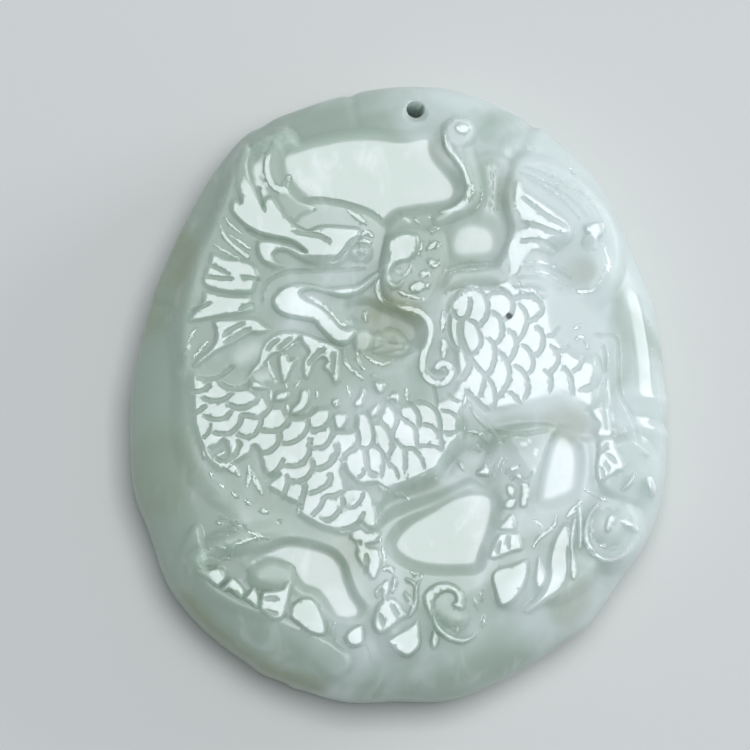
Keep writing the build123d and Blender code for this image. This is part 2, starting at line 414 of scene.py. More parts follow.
# The picture, from the first cut to the last. Each form's columns are its name, its level, its
# slope or half widths, and its outline or line
FORMS = (
    # ground
    Ridge("cloud over tail", 1.12, (16, 20, 14), ((515, 142), (545, 145), (580, 172)), SOFT, GROUND, 0.5),
    Area("foot ledge", 1.22, 8, (
        (198, 526), (187, 543), (181, 562), (181, 580), (189, 596), (204, 611), (225, 629), (245, 645),
        (263, 657), (290, 668), (330, 674), (350, 660), (330, 640), (300, 626), (262, 610), (235, 598),
        (210, 580), (204, 552)), GROUND, gloss=0.55),
    Area("cloud ground", 0.74, 16, (
        (528, 520), (545, 508), (570, 500), (588, 497), (590, 520), (586, 545), (594, 560), (582, 578),
        (560, 592), (545, 590), (534, 562)), gloss=0.2),
    Area("spiral ground", 0.58, 16, (
        (606, 500), (624, 505), (636, 518), (640, 534), (633, 550), (618, 560), (602, 560), (590, 550),
        (584, 534), (587, 516), (595, 505)), gloss=0.3),
    Area("right rim", 1.0, 10, (
        (632, 292), (646, 300), (656, 330), (662, 370), (666, 410), (667, 445), (662, 458), (652, 444),
        (644, 420), (640, 380), (637, 340), (634, 310)), GROUND),
    Area("tail ground", 0.72, 14, (
        (514, 178), (520, 162), (540, 160), (565, 170), (590, 188), (609, 210), (620, 235), (620, 262),
        (612, 286), (596, 300), (575, 299), (560, 291), (545, 286), (528, 284), (515, 287), (505, 278),
        (503, 256), (508, 236), (516, 224), (510, 200)), lean=(-0.50, 0.20), gloss=0.2),
    Ridge("bent leg ground", 0.8, (15, 16, 18), (
        (198, 560), (208, 580), (240, 598), (275, 606), (312, 618)), SOFT, gloss=0.2),
    Ridge("forearm", 0.88, (16, 18, 14), ((282, 523), (245, 537), (216, 546), (198, 560)), SOFT, gloss=0.3),
    Ridge("chest side", 0.8, (22, 26, 22), (
        (192, 380), (192, 420), (200, 456), (220, 480), (250, 500), (285, 514), (322, 534)), SOFT,
        gloss=0.3),
    Ridge("mane side", 0.78, (20, 24, 20), (
        (204, 245), (195, 285), (188, 330), (190, 370)), SOFT, gloss=0.3),
    Area("body", 0.9, 10, (
        (195, 372), (194, 395), (196, 425), (206, 452), (222, 470), (252, 492), (285, 502), (318, 523),
        (350, 530), (376, 520), (380, 492), (410, 482), (430, 474), (443, 458), (450, 444), (458, 436),
        (462, 420), (462, 408), (470, 402), (480, 406), (496, 410), (518, 406), (531, 400), (546, 397),
        (554, 391), (566, 389), (574, 394), (580, 402), (589, 410), (600, 405), (604, 385), (600, 362),
        (590, 356), (583, 356), (575, 352), (566, 345), (557, 338), (552, 325), (548, 305), (541, 297),
        (530, 292), (520, 294), (513, 297), (506, 291), (496, 290), (488, 295), (478, 291), (468, 290),
        (459, 297), (452, 304), (450, 325), (452, 345), (457, 352), (457, 364), (459, 376), (452, 390),
        (440, 392), (400, 385), (340, 380), (290, 378), (250, 368), (220, 362))),
    Area("upper thigh", 0.78, 12, (
        (470, 402), (484, 408), (497, 412), (530, 402), (560, 393), (580, 404), (594, 412), (600, 430),
        (580, 436), (552, 428), (500, 432), (480, 442), (464, 434), (464, 414)), lean=(0.0, -0.7),
        gloss=0.4),
    Ridge("back", 0.97, (10, 14, 10), ((440, 284), (462, 275), (490, 273), (514, 281)), ROUND, gloss=0.3),
    Area("haunch", 0.74, 14, (
        (552, 296), (575, 300), (598, 318), (608, 340), (612, 370), (611, 400), (604, 405), (605, 385),
        (601, 362), (590, 354), (578, 351), (566, 343), (556, 330), (551, 312)), lean=(-0.5, 0.0),
        gloss=0.3),
    Area("thigh", 0.72, 16, (
        (446, 476), (466, 446), (500, 436), (545, 434), (549, 448), (541, 470), (532, 492), (522, 508),
        (500, 508), (488, 494), (472, 476)), lean=(0.9, -0.5), gloss=0.3),
    Ridge("belly turn", 0.5, (14, 22, 12), (
        (372, 520), (388, 505), (412, 496), (440, 486), (462, 472), (480, 455), (492, 436)), SOFT,
        gloss=0.3),
    Ridge("hind leg ground", 0.8, (22, 19, 20), ((506, 490), (508, 540), (509, 592)), SOFT, gloss=0.3),
    Ridge("foreleg ground", 0.82, (22, 20, 22), ((356, 510), (370, 560), (398, 640)), SOFT, gloss=0.3),
    Ridge("far leg ground", 0.84, (14, 14, 16), ((600, 380), (604, 430), (608, 470)), SOFT, gloss=0.3),
    Area("far hoof", 1.24, 12, (
        (612, 446), (630, 440), (648, 447), (662, 462), (662, 480), (652, 497), (630, 498), (612, 491),
        (604, 482), (616, 470), (616, 455)), GROUND, gloss=0.4),
    Area("head ground", 0.8, 14, (
        (196, 368), (186, 340), (190, 300), (203, 250), (222, 205), (238, 158), (262, 138), (284, 130),
        (296, 150), (296, 185), (318, 206), (350, 212), (380, 227), (402, 216), (426, 214), (443, 224),
        (446, 262), (440, 290), (436, 330), (450, 360), (448, 392), (400, 397), (360, 397), (300, 394),
        (260, 388), (225, 374)), gloss=0.1),

    # sunk fields with polished floors
    Area("upper field", 0.63, 12, (
        (282, 152), (300, 145), (322, 139), (350, 134), (372, 133), (400, 136), (431, 133), (434, 150),
        (442, 163), (453, 176), (458, 186), (456, 198), (442, 205), (402, 211), (391, 217), (381, 227),
        (370, 218), (349, 212), (320, 209), (301, 196), (285, 178), (280, 164)), fade=5),
    Area("field behind horn", 0.62, 10, (
        (478, 165), (486, 156), (498, 156), (507, 164), (505, 180), (503, 195), (505, 210), (509, 224),
        (508, 236), (500, 246), (484, 240), (472, 225), (478, 205), (482, 190)), gloss=0.75, fade=8),
    Area("field under horn", 0.65, 14, (
        (446, 236), (454, 222), (470, 215), (488, 218), (500, 228), (503, 244), (496, 258), (474, 263),
        (455, 262), (446, 252)), fade=14),
    Area("belly field", 0.66, 12, (
        (395, 535), (410, 520), (430, 509), (446, 499), (462, 492), (477, 490), (490, 493), (495, 504),
        (493, 520), (488, 537), (482, 552), (477, 566), (460, 568), (438, 568), (418, 565), (402, 558),
        (392, 547)), fade=4),
    Area("hind field", 0.68, 10, (
        (553, 434), (566, 431), (577, 441), (582, 458), (581, 480), (576, 494), (562, 502), (546, 506),
        (536, 502), (537, 488), (541, 468), (545, 452)), gloss=0.9, fade=9),
    Area("fore field", 0.65, 9, (
        (246, 561), (256, 553), (272, 546), (286, 541), (303, 542), (319, 546), (334, 553), (343, 564),
        (348, 580), (354, 594), (362, 608), (356, 619), (337, 619), (329, 609), (322, 598), (314, 590),
        (303, 587), (295, 577), (288, 567), (277, 561), (264, 561), (254, 569)), gloss=0.95, fade=4),

    # head
    Area("brow plate", 0.7, 10, (
        (290, 218), (298, 206), (318, 202), (345, 206), (366, 213), (381, 224), (386, 238), (380, 262),
        (372, 268), (352, 268), (356, 240), (352, 230), (330, 228), (306, 230)), lean=(0.0, -0.35),
        gloss=0.5),
    Ridge("brow slash", 1.0, (2.0, 4.0, 2.0), ((348, 210), (357, 216), (366, 223))),
    Area("brow flame", 0.95, 5, (
        (358, 229), (346, 227), (330, 226), (318, 227), (306, 231), (292, 223), (281, 211), (272, 198),
        (265, 199), (262, 206), (257, 196), (249, 180), (246, 164), (249, 146), (245, 141), (241, 152),
        (238, 168), (237, 184), (241, 202), (234, 200), (231, 210), (240, 221), (252, 230), (266, 235),
        (282, 238), (294, 242), (306, 252), (290, 246), (275, 242), (260, 241), (257, 248), (260, 258),
        (268, 265), (278, 267), (284, 265), (275, 261), (272, 255), (277, 250), (286, 250), (296, 255),
        (306, 261), (318, 265), (332, 265), (342, 262), (350, 248), (358, 238))),
    Area("ear hollow", 0.76, 5, (
        (274, 254), (282, 251), (292, 255), (299, 262), (288, 266), (277, 262)), gloss=0.2),
    Ridge("flame behind", 0.86, (3, 4, 5), (
        (279, 135), (272, 146), (267, 160), (267, 174), (274, 186), (284, 191))),
    *numbered(Ridge, "flame strand", (
        (0.8, (2, 4, 3), ((258, 142), (255, 160), (257, 178), (264, 194))),
        (0.8, (2, 3, 2), ((266, 135), (261, 150), (260, 168), (266, 184))),
    )),
    Ridge("flame curl", 0.86, (4, 4, 3), ((289, 177), (285, 184), (287, 192), (300, 203), (313, 208))),
    Area("flame web", 0.84, 6, (
        (276, 196), (288, 194), (300, 203), (311, 208), (300, 214), (293, 220), (284, 211)), gloss=0.2),
    *numbered(Ridge, "flame glint", (
        (0.88, (1.8, 2.6, 1.8), ((283, 121), (288, 124))),
        (0.88, (1.6, 2.2, 1.6), ((291, 127), (294, 129))),
    )),
    Ridge("upper lid", 0.97, (2.5, 3.5, 2.5), ((361, 234), (367, 232), (372, 235))),
    Ridge("eyeball", 0.95, (10, 11, 10), ((359, 253), (364, 253)), ROUND, gloss=0.6),
    *numbered(Ridge, "eye glint", (
        (0.97, (1.6, 2, 1.6), ((360, 255), (361, 254))), (0.97, (1.6, 2, 1.6), ((364, 253), (365, 253))),
    )),
    *numbered(Ridge, "eye fold", (
        (0.93, (1.0, 1.4, 1.0), ((360, 245), (364, 244), (368, 246))),
        (0.92, (1.0, 1.4, 1.0), ((360, 248), (364, 247), (368, 249))),
    )),
    Ridge("inner lid", 0.99, (2.0, 2.8, 2.0), ((359, 241), (364, 240), (370, 242))),
    Ridge("brow edge", 0.95, (2.0, 3.2, 2.2), ((341, 261), (347, 255), (351, 247), (357, 241))),
    Area("jaw hollow", 0.66, 24, (
        (382, 272), (360, 271), (330, 273), (302, 273), (284, 277), (268, 285), (262, 297), (263, 308),
        (268, 317), (284, 325), (302, 331), (320, 338), (338, 346), (352, 344), (364, 334), (368, 320),
        (372, 300), (380, 285)), gloss=0.2),
    Area("mouth", 0.62, 8, (
        (304, 292), (325, 293), (345, 297), (362, 293), (376, 286), (386, 300), (400, 313), (418, 319),
        (424, 330), (420, 346), (402, 356), (380, 356), (364, 348), (357, 330), (345, 326), (335, 320),
        (320, 308), (308, 300)), gloss=0.2),
    Area("throat", 0.42, 12, (
        (350, 305), (368, 303), (384, 311), (402, 318), (415, 326), (416, 338), (402, 343), (385, 336),
        (372, 330), (362, 322), (352, 316)), gloss=0.2),
    Ridge("gum", 0.64, (2, 3, 2), ((310, 297), (325, 307), (338, 321), (346, 325))),
    Ridge("tongue", 0.6, (5, 8, 6), ((372, 340), (384, 334), (396, 335), (405, 344)), ROUND, gloss=0.3),
    Ridge("tongue fold", 0.56, (4, 6, 4), ((374, 351), (388, 347), (400, 346)), ROUND, gloss=0.3),
    Area("lip corner", 0.84, 6, (
        (356, 332), (366, 330), (372, 337), (370, 347), (362, 353), (355, 346)), gloss=0.4),
    Area("jaw plate", 0.92, 5, (
        (376, 273), (366, 280), (356, 286), (342, 287), (328, 289), (315, 286), (300, 284), (287, 286),
        (278, 292), (273, 300), (276, 309), (286, 315), (300, 318), (314, 321), (321, 329), (331, 339),
        (341, 344), (349, 341), (356, 331), (350, 328), (341, 328), (334, 321), (325, 311), (314, 304),
        (304, 299), (299, 294), (302, 290), (312, 288), (325, 291), (338, 295), (348, 295), (358, 292),
        (368, 285), (377, 277))),
    Ridge("tooth 1", 0.8, (3, 4, 3), ((348, 319), (350, 322)), ROUND),
    Ridge("tooth 2", 0.78, (3, 4, 3), ((365, 312), (366, 319)), ROUND),
    Ridge("chin beads", 0.84, (2, 3, 2), ((366, 356), (374, 362), (384, 364), (393, 358))),
    Area("muzzle", 0.87, 8, (
        (384, 262), (388, 240), (396, 232), (410, 228), (424, 230), (441, 234), (446, 254), (442, 270),
        (434, 290), (425, 302), (408, 303), (392, 298), (383, 285)), gloss=0.3),
    Area("nose", 1.0, 5, (
        (389, 240), (396, 235), (406, 233), (416, 235), (418, 245), (415, 254), (407, 260), (399, 262),
        (393, 266), (389, 273), (390, 280), (396, 284), (402, 281), (399, 287), (391, 288), (385, 281),
        (385, 268), (388, 257), (387, 248))),
    Ridge("nostril", 0.92, (4, 5, 4), ((396, 271), (399, 272)), ROUND, gloss=0.5),
    *numbered(Ridge, "nose wing", (
        (0.94, LOCK, ((422, 242), (421, 248), (418, 254))),
        (0.94, (1.6, 2.2, 1.6), ((405, 276), (409, 270), (411, 265))),
    )),
    Ridge("lip edge", 0.94, (2, 2.8, 2), ((400, 292), (407, 295), (413, 297), (420, 298))),
    Ridge("lip notch", 0.93, FINE, ((423, 298), (424, 303))),
    Ridge("crest glint", 0.9, (1.4, 2, 1.4), ((429, 217), (434, 218))),
    *numbered(Ridge, "nose hair", (
        (0.8, (1.5, 2, 1.5), ((401, 211), (404, 217), (409, 221))),
        (0.84, (1.5, 2.4, 1.5), ((415, 218), (418, 223))),
    )),
    *numbered(Ridge, "crest bead", (
        (0.97, (4, 5, 4), ((431, 229), (435, 228))), (0.97, (3, 4, 3), ((429, 248), (435, 243))),
        (0.97, (4, 5, 4), ((430, 261), (434, 265))), (0.97, (4, 4.5, 4), ((422, 275), (426, 272))),
        (0.97, (6, 7, 6), ((414, 288), (420, 286))),
    )),
    *numbered(Ridge, "crest pearl", (
        (0.93, BEAD, ((438, 228), (439, 229))), (0.93, BEAD, ((438, 246), (439, 243))),
        (0.93, BEAD, ((437, 265), (439, 261))), (0.93, BEAD, ((428, 276), (429, 272))),
        (0.93, BEAD, ((426, 287), (428, 284))),
    )),

    # horn
    Ridge("horn", 0.92, (19, 12, 8), (
        (461, 128), (460, 142), (463, 155), (470, 168), (475, 183), (474, 197), (466, 206), (452, 213),
        (438, 219)), SOFT, gloss=0.25),
    Area("horn knob", 0.88, 7, (
        (444, 134), (446, 124), (452, 118), (460, 116), (469, 119), (474, 127), (473, 136), (467, 143),
        (458, 146), (449, 142)), gloss=0.3),
    Area("horn tip", 0.95, 3, (
        (455, 127), (457, 123), (462, 122), (468, 124), (470, 128), (466, 132), (459, 132))),
    Ridge("horn tip edge", 0.95, FINE, ((444, 131), (445, 123), (451, 119), (460, 117))),
    Ridge("horn ring", 0.93, THIN, ((464, 112), (468, 114), (472, 117))),
    Area("horn edge", 0.93, 3, (
        (444, 133), (444, 142), (447, 150), (454, 158), (460, 167), (464, 177), (466, 187), (464, 195),
        (458, 202), (450, 207), (440, 211), (443, 214), (453, 212), (463, 207), (470, 199), (473, 188),
        (471, 178), (467, 168), (461, 158), (454, 149), (449, 140), (447, 132))),
    Ridge("horn back line", 0.95, HAIR, ((472, 183), (473, 192), (469, 200))),
    Ridge("horn back edge", 0.66, SLIM, ((481, 186), (482, 197), (477, 208))),

    # mane
    *numbered(Area, "mane tuft", (
        (0.92, 5, (
            (213, 254), (226, 259), (240, 260), (252, 265), (258, 275), (255, 281), (251, 292), (240, 293),
            (222, 291), (208, 287), (203, 281), (206, 271), (210, 262))),
        (0.92, 5, (
            (205, 292), (220, 295), (236, 297), (249, 297), (251, 304), (250, 311), (235, 314), (215, 317),
            (200, 320), (189, 321), (196, 311), (203, 302))),
        (0.92, 5, (
            (215, 321), (235, 319), (254, 319), (262, 324), (269, 330), (260, 333), (250, 333), (236, 341),
            (225, 347), (214, 353), (204, 361), (194, 367), (200, 358), (210, 350), (216, 340),
            (216, 330))),
    )),
    Ridge("mane lobe 1", 0.86, (13, 15, 13), ((240, 358), (252, 349)), ROUND, gloss=0.5),
    Ridge("mane lobe 2", 0.86, (11, 12, 11), ((256, 379), (266, 377)), ROUND, gloss=0.5),
    *numbered(Ridge, "mane strand", (
        (0.88, (1.6, 2.6, 3.2), ((219, 224), (225, 237), (235, 247), (247, 256))),
        (0.86, HAIR, ((225, 218), (232, 226), (241, 233))),
        (0.88, (1.4, 2.6, 2.4), ((228, 233), (238, 240), (249, 248))),
        (0.88, (1.4, 2.4, 1.8), ((214, 245), (225, 251), (239, 258))),
        (0.84, SLIM, ((189, 341), (193, 333), (199, 326))),
        (0.84, (1.4, 2.6, 1.4), ((194, 358), (200, 350), (208, 342))),
        (0.8, THIN, ((182, 356), (187, 349), (190, 345))),
    )),
    Ridge("mane curl", 0.84, (2, 3.2, 2), ((219, 207), (219, 202), (223, 197))),

    # beard
    Area("beard web", 0.88, 4, (
        (258, 362), (262, 348), (270, 338), (284, 332), (300, 334), (294, 342), (284, 350), (273, 354),
        (266, 361), (260, 370), (250, 374), (254, 367)), gloss=0.8),
    *numbered(Area, "beard tuft", (
        (0.9, 4, (
            (279, 356), (286, 354), (289, 361), (297, 358), (291, 370), (287, 379), (283, 382),
            (280, 370))),
        (0.9, 4, (
            (302, 334), (320, 340), (338, 348), (339, 365), (339, 382), (334, 385), (331, 375), (324, 367),
            (327, 361), (322, 357), (314, 362), (311, 371), (307, 379), (303, 372), (304, 360), (309, 352),
            (303, 344))),
    )),
    *numbered(Ridge, "beard strand", (
        (0.88, (2, 3, 2.4), ((343, 350), (345, 362), (352, 370), (362, 378))),
        (0.86, LOCK, ((356, 348), (358, 361), (364, 369))),
        (0.82, HAIR, ((286, 349), (293, 344), (301, 341))),
        (0.82, HAIR, ((268, 360), (270, 370), (276, 382))),
    )),
    Ridge("chin fold", 0.82, (5, 8, 5), ((378, 384), (388, 372), (404, 366), (414, 350)), ROUND, gloss=0.2),
    Ridge("chin fold side", 0.86, (4, 5, 4), ((374, 376), (379, 384), (379, 391)), ROUND, gloss=0.3),

    # chest and neck
    Area("neck ground", 0.8, 8, (
        (256, 391), (266, 396), (270, 405), (282, 407), (288, 416), (300, 418), (312, 411), (320, 407),
        (331, 408), (334, 418), (333, 429), (346, 431), (355, 427), (355, 412), (363, 410), (374, 420),
        (380, 412), (386, 402), (398, 405), (412, 402), (415, 390), (412, 380), (380, 378), (340, 384),
        (300, 388), (270, 384)), gloss=0.1),
    Area("chest pocket 1", 0.8, 5, (
        (224, 439), (229, 447), (229, 456), (223, 461), (214, 458), (209, 448), (216, 446)), gloss=0.1),
    Area("chest pocket 2", 0.8, 6, (
        (254, 445), (260, 450), (262, 462), (267, 473), (280, 474), (268, 484), (278, 492), (290, 500),
        (300, 505), (290, 515), (262, 506), (236, 492), (220, 476), (228, 466), (243, 458), (251, 452)),
        gloss=0.2),
    Area("chest pocket 3", 0.8, 6, (
        (344, 463), (347, 471), (353, 478), (361, 484), (371, 483), (379, 484), (381, 500), (374, 500),
        (368, 491), (356, 488), (346, 488), (343, 479), (341, 470)), gloss=0.2),
    *numbered(Area, "neck plate", (
        (0.92, 4, ((275, 397), (277, 393), (287, 391), (289, 396), (285, 400), (276, 401))),
        (0.92, 4, (
            (301, 391), (308, 390), (309, 400), (305, 408), (298, 413), (291, 414), (292, 408),
            (299, 401))),
        (0.92, 3, ((333, 400), (338, 399), (339, 405), (335, 407), (332, 404))),
        (0.92, 4, ((362, 388), (365, 392), (363, 404), (357, 407), (354, 403), (360, 395))),
        (0.92, 4, ((377, 404), (379, 409), (377, 415), (371, 417), (370, 411))),
        (0.92, 4, ((374, 383), (381, 381), (385, 386), (381, 393), (376, 390))),
        (0.92, 3, ((386, 401), (390, 395), (397, 393), (400, 401), (397, 404), (392, 399))),
        (0.92, 4, ((334, 415), (345, 413), (347, 419), (342, 428), (336, 428))),
        (0.92, 4, ((251, 380), (262, 384), (268, 388), (258, 389), (250, 387))),
    )),
    *numbered(Ridge, "neck line", (
        (0.92, HAIR, ((271, 391), (271, 400))), (0.92, LOCK, ((287, 405), (288, 411))),
        (0.92, LOCK, ((317, 391), (317, 397))), (0.92, (1.6, 2.4, 1.4), ((406, 389), (407, 400))),
        (0.92, THIN, ((296, 387), (300, 380))), (0.92, THIN, ((287, 388), (286, 382))),
        (0.9, THIN, ((347, 386), (351, 398))),
    )),
    *numbered(Ridge, "scale line", (
        (0.92, FINE, ((374, 427), (375, 441))), (0.92, HAIR, ((343, 461), (342, 468))),
    )),
    *numbered(Ridge, "scale glint", (
        (0.92, (2.0, 3.0, 2.0), ((405, 471), (406, 477))), (0.9, SLIM, ((420, 478), (425, 475))),
        (0.9, SLIM, ((434, 478), (438, 480))),
    )),
    *numbered(Ridge, "belly glint", (
        (0.84, LOCK, ((380, 485), (384, 488), (389, 492))),
        (0.8, (1.8, 2.6, 1.8), ((396, 494), (403, 494))), (0.76, FINE, ((405, 495), (411, 500))),
    )),
    *numbered(Ridge, "chest strand", (
        (0.9, (2, 4, 2), ((249, 466), (250, 475), (247, 486))),
        (0.9, (2, 3.4, 2), ((253, 472), (257, 483), (262, 493))),
        (0.9, (3, 6, 2), ((226, 465), (234, 469), (240, 475))),
    )),
    *numbered(Ridge, "edge bead", (
        (0.86, LOCK, ((203, 452), (205, 457))), (0.86, FULL, ((211, 472), (213, 477))),
        (0.86, LOCK, ((220, 484), (224, 487))), (0.86, (2.0, 3.2, 2.0), ((233, 492), (238, 496))),
        (0.86, (2.0, 3.0, 2.0), ((246, 500), (251, 503))),
        (0.86, (2.4, 3.6, 2.4), ((261, 510), (267, 511))),
        (0.86, (2.0, 3.0, 2.0), ((278, 522), (281, 520))), (0.86, HAIR, ((299, 505), (299, 512))),
    )),
    Ridge("haunch line", 0.92, FINE, ((569, 379), (571, 391))),
    *numbered(Ridge, "neck side plate", (
        (0.92, (2, 4, 2), ((443, 312), (443, 321), (442, 331))),
        (0.92, (3, 5, 3), ((443, 341), (444, 348), (443, 356))),
    )),
    Ridge("pocket curl", 0.9, (1.8, 2.8, 1.8), ((214, 459), (219, 455), (225, 452))),

    # whisker
    Ridge("whisker", 1.0, (2.8, 4.8, 4.6), (
        (384, 266), (378, 274), (377, 285), (380, 297), (389, 305), (401, 308), (415, 310), (425, 317),
        (430, 328), (429, 340), (424, 352), (422, 365), (426, 377), (435, 383), (445, 382), (451, 374),
        (449, 366), (442, 363), (437, 367))),

    # back and haunch
    *numbered(Ridge, "back line", (
        (0.9, HAIR, ((442, 272), (455, 266), (470, 263), (492, 262))),
        (0.89, FINE, ((450, 274), (468, 268), (494, 267))),
    )),
    Ridge("back scallop", 0.93, (1.6, 2.6, 2.4), (
        (456, 299), (461, 291), (469, 287), (479, 288), (487, 293))),
    Area("back web", 0.93, 4, (
        (482, 290), (492, 288), (502, 283), (509, 280), (514, 286), (521, 288), (514, 298), (508, 291),
        (500, 287), (493, 290), (488, 296))),
    Ridge("back scallop end", 0.93, (1.8, 2.4, 1.6), (
        (519, 283), (523, 290), (531, 290), (538, 295), (542, 303))),
    Ridge("haunch curl", 0.93, (1.6, 2.8, 1.6), ((577, 339), (582, 336), (587, 341), (588, 347))),
    Ridge("haunch bead", 0.93, (2.4, 3, 2.4), ((576, 328), (580, 325))),
    Ridge("haunch edge", 0.9, (1.4, 2.2, 1.6), ((610, 352), (609, 363), (606, 375))),
    Ridge("far leg edge", 0.92, (1.6, 2.6, 2.0), ((608, 380), (611, 408), (616, 433))),
    *numbered(Ridge, "flank line", (
        (0.94, (2, 2.8, 1.6), ((466, 396), (463, 410), (466, 425), (461, 438))),
        (0.93, (1.6, 2.6, 2.2), ((469, 400), (474, 414), (484, 424), (495, 433), (498, 441))),
    )),
    *numbered(Ridge, "flank arc", (
        (0.92, (1.8, 3.4, 1.6), ((470, 431), (479, 433), (487, 442))),
        (0.92, (1.8, 3.2, 1.8), ((469, 450), (475, 446), (481, 450))),
    )),

    # tail
    Area("tail plume", 0.95, 4, (
        (518, 180), (524, 189), (534, 196), (546, 204), (557, 212), (567, 220), (572, 230), (570, 240),
        (561, 246), (556, 253), (545, 251), (533, 250), (526, 254), (522, 263), (519, 272), (513, 277),
        (509, 273), (508, 259), (508, 247), (513, 236), (522, 229), (529, 225), (520, 215), (515, 205),
        (514, 192))),
    Area("tail flame", 0.95, 3, (
        (604, 221), (595, 222), (587, 225), (587, 231), (590, 233), (585, 237), (584, 246), (589, 251),
        (597, 247), (599, 237), (604, 232), (606, 225)), lean=(0.22, -0.12)),
    Area("edge glint", 1.02, 3, ((571, 167), (576, 164), (581, 168), (577, 172)), GROUND, lean=(1.4, -1.4)),
    Area("tail hollow", 0.66, 22, (
        (556, 254), (578, 248), (596, 256), (600, 272), (588, 284), (570, 282), (556, 270)),
        lean=(0.9, 0.4), gloss=0.2),
    Ridge("tail edge", 0.93, (2.4, 3.2, 2.6), (
        (602, 241), (606, 247), (609, 256), (610, 264), (608, 272), (604, 280), (598, 287), (591, 291),
        (579, 291))),
    *numbered(Ridge, "outer tail hair", (
        (0.88, THIN, ((534, 176), (548, 184), (566, 196))),
        (0.88, THIN, ((548, 172), (566, 180), (584, 194))),
        (0.86, THIN, ((572, 178), (590, 190), (602, 206))),
    )),
    Ridge("tail edge line", 0.92, FINE, ((606, 263), (606, 270), (603, 277))),
    *numbered(Ridge, "inner tail hair", (
        (0.9, HAIR, ((528, 271), (545, 272), (560, 278), (576, 290))),
        (0.88, (1.4, 2.0, 1.4), ((524, 262), (545, 262), (566, 268))),
        (0.88, HAIR, ((540, 176), (552, 181), (566, 183), (582, 188), (596, 199))),
    )),
    Ridge("tail bead", 0.9, (4, 5, 4), ((574, 168), (578, 169))),
    Ridge("tail bead arc", 0.88, FINE, ((572, 164), (580, 164), (589, 170))),
    Ridge("cloud glint", 0.78, FULL, ((526, 139), (532, 142), (537, 144))),

    # standing foreleg
    *numbered(Area, "foreleg plate", (
        (0.9, 5, (
            (338, 524), (350, 527), (360, 520), (368, 527), (376, 526), (375, 510), (370, 499), (364, 489),
            (352, 500))),
        (0.9, 4, (
            (350, 533), (360, 528), (366, 532), (377, 531), (377, 541), (368, 543), (367, 546), (376, 548),
            (380, 553), (381, 562), (378, 571), (374, 578), (369, 574), (366, 566), (363, 565), (357, 556),
            (357, 548), (361, 541), (354, 540))),
    )),
    *numbered(Ridge, "foreleg line", (
        (0.9, HAIR, ((376, 504), (379, 514), (378, 525))), (0.9, LOCK, ((379, 531), (380, 541))),
        (0.9, LOCK, ((382, 547), (384, 555), (384, 563))),
    )),
    Area("fetlock line", 0.9, 3, ((393, 576), (396, 578), (396, 584), (393, 591), (390, 591), (392, 583))),
    Ridge("fetlock bead", 0.9, (2.4, 3.6, 2.4), ((384, 568), (388, 567), (392, 571))),
    Area("fore pastern", 0.92, 3, (
        (377, 597), (375, 591), (378, 586), (383, 582), (387, 579), (389, 584), (388, 592), (385, 599),
        (382, 595), (382, 589), (380, 588), (378, 592))),
    *numbered(Area, "foreleg hair", (
        (0.9, 3, ((405, 578), (411, 579), (415, 583), (416, 588), (412, 584), (409, 581))),
        (0.9, 3, (
            (419, 580), (417, 591), (417, 602), (414, 610), (408, 616), (410, 609), (413, 602), (414, 592),
            (415, 585))),
        (0.9, 3, ((404, 592), (409, 595), (412, 601), (412, 607), (409, 602), (406, 597))),
    )),
    *numbered(Ridge, "foreleg strand", (
        (0.88, (2, 3, 2), ((411, 571), (416, 573))), (0.88, (1.4, 2.0, 1.4), ((421, 572), (421, 578))),
    )),
    Area("fore fetlock", 0.94, 4, (
        (382, 600), (389, 597), (396, 600), (401, 607), (406, 614), (398, 620), (388, 628), (379, 631),
        (374, 624), (376, 611))),
    Area("fore hoof", 0.94, 4, (
        (417, 620), (418, 624), (419, 633), (419, 643), (414, 650), (407, 654), (399, 651), (392, 645),
        (388, 641), (388, 639), (391, 637), (402, 630), (413, 623))),

    # bent foreleg
    Ridge("knee cap", 0.92, (3.4, 5.4, 3.4), ((204, 561), (210, 560), (217, 560))),
    Ridge("knee line", 0.9, FINE, ((201, 566), (210, 567), (219, 565))),
    *numbered(Area, "knee plate", (
        (0.92, 4, (
            (200, 570), (209, 569), (218, 567), (225, 570), (226, 577), (221, 583), (217, 584),
            (209, 578))),
        (0.92, 4, (
            (223, 588), (229, 580), (233, 577), (240, 582), (245, 590), (242, 596), (236, 592),
            (230, 588))),
        (0.92, 4, ((246, 597), (251, 590), (255, 587), (259, 596), (258, 606), (251, 601))),
    )),
    Ridge("shin", 0.82, (14, 17, 14), ((262, 575), (284, 574)), ROUND, gloss=0.4),
    Area("bent fetlock", 0.94, 4, (
        (264, 591), (274, 590), (283, 588), (287, 582), (291, 582), (289, 597), (285, 611), (281, 617),
        (274, 617), (267, 612), (261, 607), (262, 597))),
    Area("bent hoof", 0.94, 4, (
        (292, 607), (298, 600), (305, 597), (313, 599), (319, 608), (324, 620), (325, 631), (318, 633),
        (309, 630), (299, 622), (292, 616))),
    Ridge("bent hoof line", 0.9, (1.2, 1.6, 1.2), ((326, 616), (329, 625), (329, 634))),
    *numbered(Ridge, "forearm hair", (
        (0.9, LOCK, ((220, 516), (224, 517), (228, 518))), (0.9, (2.0, 2.8, 2.0), ((217, 522), (221, 522))),
        (0.9, LOCK, ((232, 521), (237, 524), (242, 525))),
        (0.9, (2.4, 3.8, 2.4), ((228, 528), (233, 528), (239, 531))),
        (0.9, LOCK, ((245, 525), (250, 531), (259, 535), (269, 538))),
        (0.9, SLIM, ((213, 534), (220, 533), (228, 534))),
        (0.9, (2.0, 3.0, 2.0), ((229, 550), (237, 543), (246, 540), (257, 536))),
        (0.9, (1.4, 2.0, 1.4), ((234, 546), (233, 551), (232, 556))),
        (0.9, FULL, ((215, 542), (220, 546), (226, 548))),
        (0.88, FINE, ((196, 551), (203, 548), (211, 547))),
        (0.88, FINE, ((220, 560), (226, 557), (232, 558))),
    )),

    # hind leg
